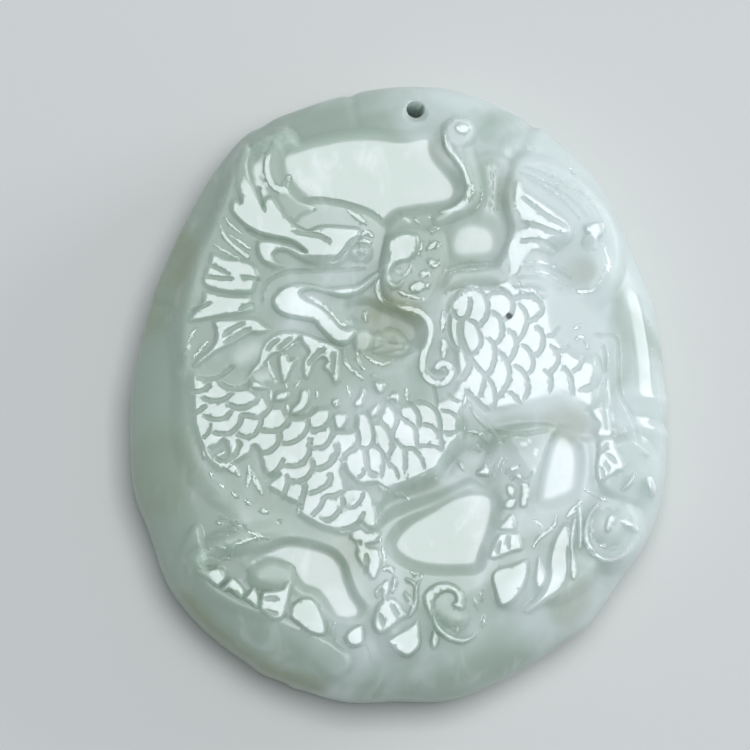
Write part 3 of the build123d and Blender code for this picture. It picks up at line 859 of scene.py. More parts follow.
    *numbered(Area, "hind pastern", (
        (0.9, 3, ((522, 484), (528, 485), (528, 497), (525, 506), (520, 505), (521, 494))),
        (0.9, 3, ((507, 485), (514, 488), (513, 497), (507, 494))),
        (0.9, 3, ((506, 500), (515, 499), (513, 507), (505, 508))),
        (0.9, 4, ((511, 514), (514, 520), (514, 529), (499, 529), (503, 522))),
    )),
    Area("hind fetlock", 0.93, 4, (
        (493, 546), (497, 537), (501, 533), (513, 533), (518, 534), (521, 548), (512, 551), (502, 555),
        (494, 558), (489, 556))),
    Area("hind hoof", 0.94, 4, (
        (526, 560), (526, 575), (521, 588), (514, 598), (505, 604), (499, 603), (495, 591), (492, 580),
        (493, 573), (499, 568), (512, 565))),
    Area("thigh flame", 0.89, 3, ((477, 473), (482, 468), (485, 464), (489, 469), (488, 475))),
    *numbered(Ridge, "thigh hair", (
        (0.89, (1.8, 3.2, 2.0), ((500, 459), (496, 467), (493, 475))),
        (0.88, FINE, ((505, 459), (501, 468), (498, 475))),
        (0.89, (1.8, 2.8, 1.8), ((506, 473), (512, 469), (518, 466))),
        (0.89, FULL, ((510, 478), (516, 476), (523, 479))),
        (0.89, SLIM, ((534, 466), (531, 474), (526, 480))), (0.88, FINE, ((536, 449), (534, 455))),
        (0.87, FINE, ((531, 439), (526, 443), (519, 446))),
        (0.86, THIN, ((458, 458), (461, 463), (463, 468))),
        (0.86, (1.2, 2.0, 1.4), ((507, 436), (499, 443), (492, 453), (484, 464))),
    )),
    Ridge("thigh edge", 0.84, THIN, ((506, 437), (517, 436), (528, 436))),

    # far hind leg
    Area("far pastern", 0.9, 4, (
        (592, 409), (608, 408), (611, 425), (611, 436), (597, 436), (600, 424), (595, 418))),
    Area("far fetlock", 0.93, 4, (
        (600, 441), (612, 439), (616, 449), (621, 458), (623, 468), (616, 472), (608, 477), (600, 481),
        (597, 476), (597, 462), (599, 452))),
    Area("far hoof edge", 0.96, 3, (
        (636, 473), (634, 481), (628, 487), (622, 490), (625, 485), (630, 479), (633, 474))),
    Ridge("far hoof bead", 0.9, (2.0, 2.6, 2.0), ((646, 453), (650, 452))),
    Area("far hoof foot", 0.8, 3, (
        (648, 475), (653, 476), (657, 484), (657, 492), (654, 494), (650, 488), (647, 481)),
        lean=(1.2, 0.5)),
    *numbered(Ridge, "far hair", (
        (0.82, THIN, ((613, 428), (616, 437), (620, 446))),
        (0.82, THIN, ((624, 428), (629, 436), (636, 444))),
        (0.82, THIN, ((633, 456), (629, 461), (625, 466))),
    )),

    # clouds
    Ridge("spiral ball", 0.74, (18, 21, 18), ((607, 526), (616, 529)), ROUND, gloss=0.4),
    Area("spiral arc", 0.88, 3, (
        (598, 503), (590, 511), (585, 523), (583, 537), (586, 547), (592, 555), (597, 554), (591, 545),
        (588, 536), (588, 526), (591, 515), (598, 507)), lean=(0.2, 0.15)),
    Area("spiral foot", 0.8, 3, (
        (590, 551), (597, 558), (606, 561), (616, 560), (625, 556), (632, 546), (629, 547), (622, 553),
        (614, 557), (605, 557), (597, 552)), lean=(0.6, 0.6)),
    Area("spiral core 1", 0.86, 3, (
        (606, 523), (608, 517), (612, 515), (615, 519), (613, 525), (609, 530), (605, 529)),
        lean=(0.3, 0.2)),
    Area("spiral core 2", 0.82, 3, (
        (619, 519), (625, 517), (631, 521), (637, 525), (640, 530), (636, 531), (630, 527), (623, 525)),
        lean=(0.7, 0.45)),
    *numbered(Ridge, "spiral line", (
        (0.92, THIN, ((593, 515), (590, 526), (592, 538))),
        (0.92, THIN, ((600, 545), (611, 548), (624, 545))),
        (0.9, FULL, ((585, 489), (595, 494), (606, 500))),
    )),
    Area("cloud drop", 0.84, 3, (
        (538, 556), (542, 566), (545, 575), (543, 584), (538, 587), (535, 580), (536, 568))),
    Area("cloud sheet", 0.84, 7, (
        (566, 524), (558, 532), (552, 546), (549, 562), (549, 577), (544, 590), (534, 601), (526, 610),
        (540, 603), (554, 594), (564, 583), (568, 570), (568, 550), (570, 536))),
    Area("cloud strip 1", 0.88, 3, (
        (573, 519), (570, 532), (569, 545), (570, 557), (569, 568), (571, 577), (574, 579), (577, 572),
        (575, 560), (573, 548), (574, 535), (576, 521))),
    Ridge("cloud tip", 0.92, (2.6, 4.0, 2.4), ((567, 516), (574, 509), (580, 502))),
    Area("cloud strip 2", 0.88, 3, (
        (577, 508), (581, 507), (582, 525), (581, 546), (578, 548), (578, 535), (578, 520))),
    *numbered(Ridge, "cloud line", (
        (0.9, (1.6, 2.6, 1.8), ((556, 515), (555, 523), (549, 530), (541, 536), (533, 546))),
        (0.88, THIN, ((532, 520), (538, 522), (542, 528))),
    )),
    Ridge("curl ball", 0.82, (12, 14, 12), ((447, 611), (458, 617)), ROUND, gloss=0.4),
    Area("curl arc", 0.93, 4, (
        (424, 602), (424, 594), (429, 588), (438, 583), (449, 583), (458, 588), (463, 596), (463, 606),
        (459, 608), (452, 604), (456, 600), (454, 593), (447, 590), (440, 592), (434, 598), (432, 606),
        (431, 615), (427, 609))),
    Area("curl edge", 0.88, 3, (
        (433, 609), (435, 618), (441, 627), (450, 634), (460, 637), (469, 636), (476, 631), (472, 637),
        (464, 641), (454, 640), (445, 636), (437, 629), (433, 620))),
    Area("curl flame", 0.88, 3, ((434, 630), (438, 636), (437, 642), (434, 647), (431, 641), (432, 635))),
    *numbered(Ridge, "curl glint", (
        (0.88, (2.0, 3.0, 2.0), ((484, 618), (483, 625))),
        (0.88, (1.8, 2.8, 1.8), ((473, 598), (476, 602), (478, 609))),
    )),
    *numbered(Ridge, "curl line", (
        (0.88, FINE, ((449, 626), (457, 629), (464, 627))), (0.88, FINE, ((480, 592), (481, 598))),
    )),
    Area("rock plate", 0.93, 4, (
        (349, 630), (355, 626), (362, 625), (363, 640), (357, 644), (350, 643), (346, 636))),
    Ridge("rock glint", 0.88, (1.8, 3.0, 1.8), ((335, 622), (334, 630), (334, 638))),
)

# Stains in the stone: line, radius in pixels, strength
STAINS = (
    (((392, 316), (393, 317)), 24, 0.8), (((380, 345), (381, 345)), 20, 0.5),
    (((172, 245), (164, 265)), 24, 0.7), (((154, 298), (150, 312)), 20, 0.5),
    (((186, 607), (208, 632), (228, 652), (250, 668), (276, 681), (310, 692)), 16, 0.85),
    (((344, 550), (352, 554)), 15, 0.3), (((560, 424), (572, 428)), 16, 0.4),
    (((508, 186), (508, 194)), 11, 0.3), (((446, 278), (450, 282)), 13, 0.3),
    (((162, 460), (158, 480)), 30, 0.4), (((581, 271), (583, 273)), 14, 0.3),
    (((436, 148), (436, 152)), 11, 0.3), (((566, 604), (574, 596)), 18, 0.4),
)

# Engraved lines by the wheel that cuts them: half width in pixels, depth in millimetres, lines
ENGRAVING = (
    # head, mane, tail, legs and edge
    (3.0, 0.14, (
        ((294, 232), (310, 234), (320, 236), (330, 241)), ((257, 188), (260, 199), (264, 210)),
        ((246, 229), (258, 236), (270, 239), (285, 241), (296, 246), (305, 252)),
        ((308, 364), (316, 355), (324, 349)),
    )),
    (2.8, 0.14, (
        ((330, 261), (338, 257), (344, 250), (350, 242), (356, 238)), ((334, 354), (333, 363), (332, 372)),
        ((431, 369), (436, 373), (443, 372)),
    )),
    (2.4, 0.09, (((357, 252), (361, 255), (365, 252)),)),
    (2.6, 0.13, (
        ((209, 265), (219, 269), (229, 274)), ((204, 276), (217, 278), (232, 279)),
        ((241, 277), (250, 278), (260, 280)), ((190, 311), (201, 307), (210, 303)),
        ((239, 310), (246, 306), (253, 304)),
    )),
    (3.0, 0.13, (
        ((224, 335), (234, 328), (244, 323)), ((225, 343), (238, 335), (250, 329)),
        ((523, 197), (536, 207), (550, 217), (567, 226)), ((521, 241), (536, 240), (548, 243), (558, 249)),
    )),
    (2.8, 0.13, (
        ((267, 350), (272, 344), (278, 340)), ((278, 349), (284, 343), (291, 338)),
        ((266, 609), (271, 611), (277, 613)),
    )),
    (3.2, 0.13, (
        ((524, 222), (540, 226), (552, 231), (563, 235)), ((366, 554), (366, 563), (365, 572)),
        ((379, 613), (381, 619), (383, 625)), ((266, 598), (272, 597), (278, 598)),
        ((494, 431), (515, 434), (532, 433), (548, 430)),
    )),
    (2.2, 0.07, (
        ((520, 172), (545, 182), (570, 196), (588, 214)),
        ((524, 165), (550, 174), (578, 188), (598, 208), (608, 232)),
        ((540, 162), (566, 172), (592, 190), (612, 220)),
    )),
    (2.0, 0.06, (
        ((528, 178), (548, 189), (568, 204), (580, 218)), ((516, 278), (540, 278), (560, 288)),
        ((524, 267), (548, 267), (572, 277)),
    )),
    (2.4, 0.03, (
        ((486, 160), (488, 182), (485, 206)), ((498, 160), (498, 186), (496, 212)),
    )),
    (2.0, 0.03, (((492, 156), (493, 182), (490, 212)),)),
    (4.2, 0.13, (((598, 356), (600, 372), (594, 385), (581, 390)),)),
    (3.4, 0.13, (((391, 604), (394, 609), (397, 615)),)),
    (2.8, 0.12, (
        ((499, 542), (497, 548), (497, 553)), ((508, 536), (507, 542), (508, 548)),
    )),
    (2.8, 0.11, (
        ((607, 455), (611, 458), (615, 462)), ((605, 463), (607, 467), (609, 471)),
        ((597, 454), (602, 450), (607, 445)),
    )),
    (2.4, 0.11, (((600, 467), (602, 472), (603, 478)),)),
    (3.2, 0.11, ((
        (596, 335), (615, 336), (619, 350), (620, 390), (631, 411), (638, 430), (642, 442), (652, 448),
        (662, 457)),)),
    (2.8, 0.10, (((604, 345), (606, 366), (603, 400), (606, 430)),)),
    (2.2, 0.06, (((365, 642), (369, 652), (371, 663)),)),
    (2.8, 0.09, (((262, 303), (262, 291), (268, 281), (280, 274), (292, 271), (330, 270), (364, 268)),)),
    # chest, from its left edge to the leg
    (2.9, LINE_DEPTH, (
        ((197, 378), (207, 379), (217, 378), (225, 373), (233, 366)),
        ((192, 392), (201, 391), (207, 388), (210, 384)),
        ((202, 397), (208, 400), (216, 401), (225, 399), (232, 393)),
        ((190, 413), (197, 412), (202, 409), (206, 406)),
        ((213, 432), (222, 434), (232, 432), (239, 425), (243, 415)),
    )),
    (3.6, LINE_DEPTH, (
        ((219, 382), (226, 387), (236, 389), (247, 386), (252, 379)),
        ((315, 469), (324, 467), (332, 461), (337, 452), (337, 443)),
    )),
    (3.4, LINE_DEPTH, (((228, 404), (235, 407), (243, 408), (252, 404), (259, 397)),)),
    (2.7, LINE_DEPTH, (((204, 416), (212, 419), (221, 419), (228, 416), (232, 411)),)),
    (3.2, LINE_DEPTH, (
        ((241, 415), (250, 416), (259, 417), (267, 412), (272, 404)),
        ((259, 430), (269, 431), (279, 430), (287, 423), (290, 415)),
        ((290, 415), (299, 417), (308, 415), (316, 408)), ((306, 484), (304, 492), (302, 500), (301, 508)),
        ((341, 460), (348, 452), (356, 447), (358, 437), (355, 425), (357, 414)),
    )),
    (2.2, LINE_DEPTH, (
        ((203, 437), (208, 434), (211, 425)), ((443, 432), (450, 433), (458, 431)),
        ((447, 394), (453, 399), (459, 402)), ((395, 446), (390, 453), (387, 461)),
        ((382, 456), (383, 466), (381, 478)), ((357, 478), (362, 475), (364, 468)),
    )),
    (2.8, LINE_DEPTH, (
        ((238, 434), (246, 437), (255, 434), (260, 426), (262, 418)),
        ((281, 443), (290, 443), (300, 438), (307, 429), (308, 418)),
        ((216, 458), (225, 461), (234, 456), (239, 447), (238, 440)),
        ((340, 529), (350, 527), (359, 521), (364, 512)),
        ((388, 403), (395, 412), (397, 421), (393, 431), (393, 440), (404, 449), (405, 460), (405, 470)),
        ((406, 402), (414, 408), (419, 418), (418, 428)),
        ((415, 401), (425, 403), (434, 409), (439, 420), (440, 434), (442, 450)),
        ((433, 386), (435, 396), (436, 406)),
    )),
    (3.0, LINE_DEPTH, (
        ((259, 453), (268, 452), (276, 446), (280, 438), (279, 430)),
        ((266, 477), (275, 472), (281, 465), (283, 459)),
        ((283, 465), (293, 466), (302, 463), (309, 454), (310, 440)),
        ((310, 430), (320, 429), (328, 423), (332, 413)),
        ((312, 448), (321, 448), (328, 443), (334, 433), (345, 430)),
        ((289, 480), (298, 481), (307, 477), (313, 468), (312, 459)),
        ((287, 475), (288, 482), (286, 489), (283, 497)),
        ((309, 493), (319, 490), (327, 485), (331, 478), (330, 473)),
        ((312, 515), (320, 507), (325, 497), (335, 495), (346, 489)),
        ((321, 517), (328, 520), (337, 513), (343, 504), (342, 497)),
        ((365, 449), (367, 460), (368, 470), (376, 475)),
    )),
    (2.4, LINE_DEPTH, (
        ((348, 508), (355, 506), (361, 499), (364, 491)),
        ((357, 414), (365, 412), (370, 421), (373, 432), (373, 442), (367, 448), (358, 447)),
        ((387, 403), (382, 412), (380, 420), (387, 428), (391, 434)), ((423, 424), (433, 428), (439, 438)),
        ((417, 446), (429, 446), (441, 449)), ((442, 411), (449, 412), (457, 417)),
        ((373, 444), (381, 451), (386, 461), (394, 468), (398, 478)),
    )),
    (2.6, LINE_DEPTH, (
        ((374, 423), (382, 424), (389, 434), (391, 446), (388, 458)),
        ((400, 408), (399, 416), (408, 422), (415, 430), (416, 440), (417, 447)),
        ((404, 449), (413, 449), (420, 457), (424, 468)),
    )),
    # rump, from the neck to the haunch
    (2.9, LINE_DEPTH, (((452, 310), (456, 317), (462, 319), (468, 314), (470, 306), (470, 298)),)),
    (3.0, LINE_DEPTH, (
        ((484, 294), (488, 306), (486, 317), (479, 326)),
        ((487, 297), (496, 292), (505, 293), (512, 301), (512, 312), (504, 320)),
        ((493, 312), (500, 319), (502, 330), (500, 339), (494, 345)),
        ((510, 330), (515, 338), (516, 348), (512, 357), (507, 362)),
        ((514, 299), (524, 296), (534, 297), (541, 304), (541, 314), (528, 322)),
    )),
    (2.8, LINE_DEPTH, (
        ((468, 320), (475, 323), (479, 332), (481, 342), (477, 351), (469, 356)),
        ((487, 338), (493, 344), (495, 356), (492, 368), (485, 376)),
        ((470, 358), (477, 367), (485, 376), (492, 385), (495, 398), (493, 410)),
        ((499, 352), (505, 359), (509, 370), (508, 382), (502, 393), (495, 399)),
        ((519, 304), (525, 312), (527, 322), (523, 334), (517, 342)),
        ((537, 326), (542, 334), (543, 344), (540, 352), (533, 356)),
        ((522, 345), (529, 351), (533, 361), (532, 369), (528, 374)),
        ((515, 366), (522, 371), (527, 380), (528, 390), (524, 400)),
        ((551, 346), (557, 353), (558, 362), (551, 373)), ((544, 370), (550, 376), (551, 384), (549, 392)),
        ((563, 367), (569, 374), (572, 383), (572, 394)),
    )),
    (4.4, LINE_DEPTH, (((461, 320), (460, 334), (464, 347), (470, 358)),)),
    (2.4, LINE_DEPTH, (((450, 314), (449, 330), (453, 344), (459, 349)),)),
    (4.0, LINE_DEPTH, (((469, 358), (469, 367), (465, 375), (460, 380)),)),
    (2.6, LINE_DEPTH, (
        ((484, 377), (483, 387), (479, 397)), ((508, 392), (514, 396), (520, 404)),
        ((547, 336), (554, 334), (559, 327)), ((557, 352), (564, 350), (570, 345)),
        ((573, 371), (579, 367), (584, 357)), ((586, 411), (595, 405), (601, 397), (603, 382)),
    )),
    (3.8, LINE_DEPTH, (((583, 391), (591, 387), (596, 378), (597, 364)),)),
    (3.2, LINE_DEPTH, (((465, 391), (472, 396), (479, 404), (488, 411)),)),
)
GROOVES = tuple(
    Groove(line, half_width, depth) for half_width, depth, lines in ENGRAVING for line in lines)


@dataclass(frozen=True)
class Outline:
    """The pebble's edge: its radius at even steps of angle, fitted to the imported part's box.

    The radii are in the photograph's pixels, counterclockwise from the right as seen from the
    face. A nick is its angle in degrees, its rise in pixels and its spread in degrees.
    """

    radii: tuple[float, ...]
    nicks: tuple[Triple, ...]
    half_size: tuple[float, float]
    steps_a_degree: int = 10
    steps_round: int = 1440

    def edge(self, angles: np.ndarray) -> np.ndarray:
        """Gives the edge's places before it is fitted.

        Args:
            angles: Angles from the right, counterclockwise seen from the face, in radians.

        Returns:
            The places in pixels, with up as the second way.
        """
        radii, count = np.array(self.radii), 360 * self.steps_a_degree
        steps = np.arange(count) / count * len(radii)
        start = steps.astype(int)
        corners = (radii[(start + offset) % len(radii)] for offset in (-1, 0, 1, 2))
        fine = smooth_between(*corners, steps - start)
        degrees = np.degrees(angles) % 360.0
        radius = np.interp(degrees, np.arange(count + 1) / self.steps_a_degree,
                           np.append(fine, fine[0]))
        for at, rise, spread in self.nicks:
            turn = (degrees - at + 180.0) % 360.0 - 180.0
            radius = radius + rise * np.exp(-(turn / spread) ** 2)
        return np.column_stack((np.cos(angles) * radius, np.sin(angles) * radius))

    def fitted(self, angles: np.ndarray) -> np.ndarray:
        """Gives the edge's places in millimetres, fitted to the box.

        Args:
            angles: Angles from the right in radians.

        Returns:
            The places, one a row.
        """
        whole = self.edge(np.linspace(0.0, 2 * math.pi, self.steps_round, endpoint=False))
        low, high = whole.min(axis=0), whole.max(axis=0)
        half = np.array(self.half_size)
        return (self.edge(angles) - (low + high) / 2) * 2 * half / (high - low)


@dataclass(frozen=True)
class Carving:
    """The carved face as a height over each place: pebble, rim, relief and engraved lines.

    Lengths are in millimetres. The rim is a quarter of an ellipse, its width across and its
    drop down, and the ground also slopes down over the bevel. The depth is what a level of 0
    lies below one of 1. An engraved line runs out where the rim is nearer than its margin.
    """

    outline: Outline
    forms: tuple[Area | Ridge, ...]
    grooves: tuple[Groove, ...]
    thickness: float
    rim_width: float = 5.0
    rim_drop: float = 3.6
    bevel_width: float = 9.5
    bevel_slope: float = 0.17
    bevel_start: float = 0.8
    ground_sunk: float = 0.40
    face_rim_width: float = 4.5
    face_rim_drop: float = 2.0
    depth: float = 2.0
    ground_gloss: float = 0.5
    satin_cut: float = 0.08
    groove_margin: float = 2.0
    slope_step: float = 0.02

    def shares(self, places: np.ndarray) -> tuple[np.ndarray, np.ndarray]:
        """Says how far out places lie.

        Args:
            places: Places in millimetres from the middle.

        Returns:
            Each place's share of the way to the edge, and the edge's radius there.
        """
        turns = np.linspace(-math.pi, math.pi, self.outline.steps_round + 1)
        edge = self.outline.fitted(turns)
        edge_turns = np.unwrap(np.arctan2(edge[:, 1], edge[:, 0]))
        edge_radii = np.hypot(*edge.T)
        turn = np.arctan2(places[:, 1], places[:, 0])
        radius = np.interp(turn, edge_turns, edge_radii, period=2 * math.pi)
        return np.hypot(*places.T) / radius, radius

    def pixels(self, places: np.ndarray) -> np.ndarray:
        """Turns places in millimetres from the middle into pixels of the photographed face."""
        aside, up = (places * np.array(HALF_SIZE_PX) / self.outline.half_size * FACE_SCALE).T
        return np.asfortranarray(np.column_stack((
            MIDDLE_PX[0] + FACE_SHIFT_PX[0] + aside,
            MIDDLE_PX[1] + FACE_SHIFT_PX[1] - up + FACE_SHEAR * aside)))

    def surface(self, places: np.ndarray) -> Surface:
        """Carves the face at places.

        Args:
            places: Places in millimetres from the middle.

        Returns:
            The finished relief there.
        """
        share, radius = self.shares(places)
        inward = (1.0 - share) * radius
        ground, face = (
            self.thickness - drop * (1.0 - np.sqrt(1.0 - np.clip(1.0 - inward / width, 0, 1) ** 2))
            for width, drop in ((self.rim_width, self.rim_drop),
                                (self.face_rim_width, self.face_rim_drop)))
        bevel = np.maximum(self.bevel_width - inward, 0.0)
        ground -= self.ground_sunk + self.bevel_slope * bevel ** 2 / (bevel + self.bevel_start)
        gloss = np.full(len(places), self.ground_gloss)
        surface = Surface(self.pixels(places), face, ground, ground.copy(), gloss,
                          np.zeros(len(places)), self.depth)
        for form in self.forms:
            logging.debug("carving: %s", form.name)
            form.carve(surface)
        for groove in self.grooves:
            groove.carve(surface)
        run_out = ease(inward / self.groove_margin)
        surface.height = np.minimum(surface.height, face) - surface.cut * run_out
        surface.gloss *= 1.0 - ease(surface.cut / self.satin_cut)
        return surface

    def heights(self, places: np.ndarray) -> np.ndarray:
        """Gives the face's height over the back in millimetres, at places from the middle."""
        return self.surface(places).height

    def finish(self, places: np.ndarray) -> tuple[np.ndarray, np.ndarray]:
        """Gives the face's upright directions and its gloss.

        Args:
            places: Places in millimetres from the middle.

        Returns:
            One unit direction a row, and the gloss from 0 to 1.
        """
        here, step = self.surface(places), self.slope_step
        slopes = [(self.heights(places + way) - here.height) / step
                  for way in ((step, 0.0), (0.0, step))]
        normals = np.column_stack((-slopes[0], -slopes[1], np.ones(len(places))))
        return normals / np.linalg.norm(normals, axis=1)[:, None], here.gloss


def joined_rings(inner: int, inner_count: int, outer: int, outer_count: int) -> list[tuple]:
    """Fills the band between two rings of points with triangles.

    A ring of one point is a middle.

    Args:
        inner: The number of the inner ring's first point.
        inner_count: How many points the inner ring has.
        outer: The number of the outer ring's first point.
        outer_count: How many points the outer ring has.

    Returns:
        The triangles.
    """
    if inner_count == 1:
        return [(inner, outer + k, outer + (k + 1) % outer_count) for k in range(outer_count)]
    if outer_count == 1:
        return [(inner + k, outer, inner + (k + 1) % inner_count) for k in range(inner_count)]
    triangles = []
    step_in = step_out = 0
    while step_in < inner_count or step_out < outer_count:
        here_in = inner + step_in % inner_count
        here_out = outer + step_out % outer_count
        if (step_out + 1) * inner_count <= (step_in + 1) * outer_count and step_out < outer_count:
            step_out += 1
            triangles.append((here_in, here_out, outer + step_out % outer_count))
        else:
            step_in += 1
            triangles.append((here_in, here_out, inner + step_in % inner_count))
    return triangles


def split(places: np.ndarray, triangles: np.ndarray, cuts: np.ndarray) -> np.ndarray:
    """Splits triangles whose edges are cut in the middle.

    Args:
        places: All points.
        triangles: The triangles, one a row.
        cuts: For each triangle the numbers of the points on its three edges, or -1.

    Returns:
        The triangles after the cut.
    """
    amount = (cuts >= 0).sum(axis=1)
    parts = [triangles[amount == 0]]
    # Each triangle is turned so that the one cut edge comes first, or the one whole edge last
    for number in (1, 2, 3):
        corners, middles = triangles[amount == number], cuts[amount == number]
        first = np.argmax(middles >= 0, axis=1) if number == 1 else np.argmin(middles, axis=1) + 1
        order = (first[:, None] + np.arange(3)) % 3
        a, b, c = np.take_along_axis(corners, order, axis=1).T
        ab, bc, ca = np.take_along_axis(middles, order, axis=1).T
        if number == 1:
            rows = ((a, ab, c), (ab, b, c))
        elif number == 2:
            across = np.linalg.norm(places[a] - places[bc], axis=1)
            other = np.linalg.norm(places[ab] - places[c], axis=1)
            shorter = across < other
            rows = ((ab, b, bc), (a, ab, np.where(shorter, bc, c)),
                    (np.where(shorter, a, ab), bc, c))
        else:
            rows = ((a, ab, ca), (ab, b, bc), (bc, c, ca), (ab, bc, ca))
        parts += [np.column_stack(row) for row in rows]
    return np.concatenate(parts)


@dataclass
class Pendant:
    """The carved pebble with its hanging hole, all in one piece. Lengths are in millimetres.

    Each ring of points has ring_step more than the one inside it. A pass cuts so many edges of
    the carved face. The hole's mouth is as wide as it is deep, and bends at mouth_bend of that.
    The drill stands out of the stone below and above, where it flares.
    """

    low: Vector
    high: Vector
    ring_step: int = 6
    face_rings: int = 96
    rim_rings: int = 8
    rim_rings_width: float = 1.2
    wall_rings: int = 6
    back_round: float = 2.5
    back_round_rings: int = 5
    back_rings: int = 12
    passes: tuple[int, ...] = (16000, 22000, 22000)
    hole_radius: float = 0.9
    hole_mouth: float = 0.35
    hole_place: Point = (1.3, 28.2)
    hole_sides: int = 48
    mouth_bend: float = 0.3
    mouth_lift: float = 0.05
    drill_below: float = 1.0
    drill_above: float = 1.5
    drill_flare: float = 1.0
    bore_margin: float = 0.1
    stain_depth: float = 9.0

    def __post_init__(self) -> None:
        """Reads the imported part's box and sets up the carving that fits it."""
        size = (self.high - self.low) / MM
        middle = (self.high + self.low) / 2 / MM
        self.offset = np.array((middle.x, middle.y, self.low.z / MM))
        outline = Outline(EDGE_RADII, NICKS, (size.x / 2, size.y / 2))
        self.carving = Carving(outline, FORMS, GROOVES, size.z)

    def ring(self, count: int, inset: float, share: float = 1.0) -> np.ndarray:
        """Gives a ring of places that follows the edge.

        Args:
            count: How many places it has.
            inset: How far inside the edge it lies.
            share: Its size as a share of that.

        Returns:
            The places, one a row.
        """
        edge = self.carving.outline.fitted(2 * math.pi * np.arange(count) / count)
        return edge * (1.0 - inset / np.hypot(*edge.T))[:, None] * share

    def face(self) -> list[np.ndarray]:
        """Makes the rings of points over the face, closer together near the edge.

        Returns:
            The rings, from the middle outwards.
        """
        calm = self.face_rings - self.rim_rings
        flat = [np.zeros((1, 2))]
        for number in range(1, self.face_rings + 1):
            from_edge = max(self.face_rings - number, 0) / self.rim_rings
            inset = self.rim_rings_width * min(from_edge, 1.0) ** 2
            flat.append(self.ring(self.ring_step * number, inset, min(number / calm, 1.0)))
        places = np.concatenate(flat)
        raised = np.column_stack((places, self.carving.heights(places)))
        return np.split(raised, np.cumsum([len(ring) for ring in flat])[:-1])

    def wall_and_back(self, top: np.ndarray) -> list[np.ndarray]:
        """Makes the rings of points down the wall and under the back.

        Args:
            top: The heights of the edge's points.

        Returns:
            The rings, from the edge to the middle of the back.
        """
        rings, count = [], len(top)
        for step in range(1, self.wall_rings + 1):
            share = step / self.wall_rings
            heights = top * (1 - share) + self.back_round * share
            rings.append(np.column_stack((self.ring(count, 0.0), heights)))
        for step in range(1, self.back_round_rings + 1):
            turn = math.pi / 2 * step / self.back_round_rings
            places = self.ring(count, self.back_round * (1 - math.cos(turn)))
            heights = np.full(count, self.back_round * (1 - math.sin(turn)))
            rings.append(np.column_stack((places, heights)))
        for step in reversed(range(1, self.back_rings)):
            fewer = count * step // self.back_rings
            places = self.ring(fewer, self.back_round, step / self.back_rings)
            rings.append(np.column_stack((places, np.zeros(fewer))))
        return rings + [np.zeros((1, 3))]

    def shell(self) -> tuple[np.ndarray, np.ndarray]:
        """Joins the rings into one closed shell.

        Returns:
            Its points in millimetres from the middle of the back, and its triangles.
        """
        rings = self.face()
        rings += self.wall_and_back(rings[-1][:, 2])
        triangles, start = [], 0
        for ring, after in zip(rings, rings[1:]):
            triangles += joined_rings(start, len(ring), start + len(ring), len(after))
            start += len(ring)
        return np.concatenate(rings), np.array(triangles)

    def carved(self, places: np.ndarray) -> np.ndarray:
        """Says which points lie on the carved face, within the steep rim."""
        share, radius = self.carving.shares(places[:, :2])
        return (((1.0 - share) * radius > self.rim_rings_width)
                & (places[:, 2] > self.carving.thickness / 2))

    def refine(self, places: np.ndarray, triangles: np.ndarray,
               count: int) -> tuple[np.ndarray, np.ndarray]:
        """Cuts the edges whose middles lie furthest from the carving, and lifts the cuts to it.

        Args:
            places: The shell's points.
            triangles: Its triangles.
            count: How many edges are cut.

        Returns:
            The finer shell's points and triangles.
        """
        ends = np.sort(np.stack((triangles, np.roll(triangles, -1, axis=1)), axis=2), axis=2)
        keys, edges = np.unique(ends[..., 0] * len(places) + ends[..., 1], return_inverse=True)
        ends = np.column_stack(np.divmod(keys, len(places)))
        on_face = np.nonzero(self.carved(places)[ends].all(axis=1))[0]
        middles = places[ends[on_face]].mean(axis=1)
        heights = self.carving.heights(middles[:, :2])
        worst = np.argsort(-np.abs(heights - middles[:, 2]), kind="stable")[:count]
        middles[:, 2] = heights
        cuts = np.full(len(keys), -1)
        cuts[on_face[worst]] = len(places) + np.arange(len(worst))
        places = np.concatenate((places, middles[worst]))
        return places, split(places, triangles, cuts[edges.reshape(-1, 3)])

    def drill_profile(self) -> tuple[Point, ...]:
        """Draws the drill's outline.

        Returns:
            Distances from its axis and heights, from below.
        """
        front = float(self.carving.heights(np.array([self.hole_place]))[0])
        radius, mouth = self.hole_radius, self.hole_mouth
        wide, bend = radius + mouth, self.mouth_bend * mouth
        return (
            (wide, -self.drill_below),
            (wide, 0.0),
            (radius + bend, bend),
            (radius, mouth),
            (radius, front - mouth),
            (radius + bend, front - bend),
            (wide, front + self.mouth_lift),
            (wide + self.drill_flare, front + self.drill_above),
        )

    def drill(self) -> bpy.types.Object:
        """Makes the closed solid that the drill takes away.

        Returns:
            The solid.
        """
        solid = bmesh.new()
        loops = []
        for distance, height in self.drill_profile():
            loop = []
            for side in range(self.hole_sides):
                turn = 2 * math.pi * side / self.hole_sides
                spot = self.offset + (self.hole_place[0] + distance * math.cos(turn),
                                      self.hole_place[1] + distance * math.sin(turn), height)
                loop.append(solid.verts.new(tuple(spot * MM)))
            loops.append(loop)
        for below, above in zip(loops, loops[1:]):
            for side in range(self.hole_sides):
                after = (side + 1) % self.hole_sides
                solid.faces.new((below[side], below[after], above[after], above[side]))
        solid.faces.new(tuple(reversed(loops[0])))
        solid.faces.new(tuple(loops[-1]))
        mesh = bpy.data.meshes.new("drill")
        solid.to_mesh(mesh)
        solid.free()
        return placed("drill", mesh)

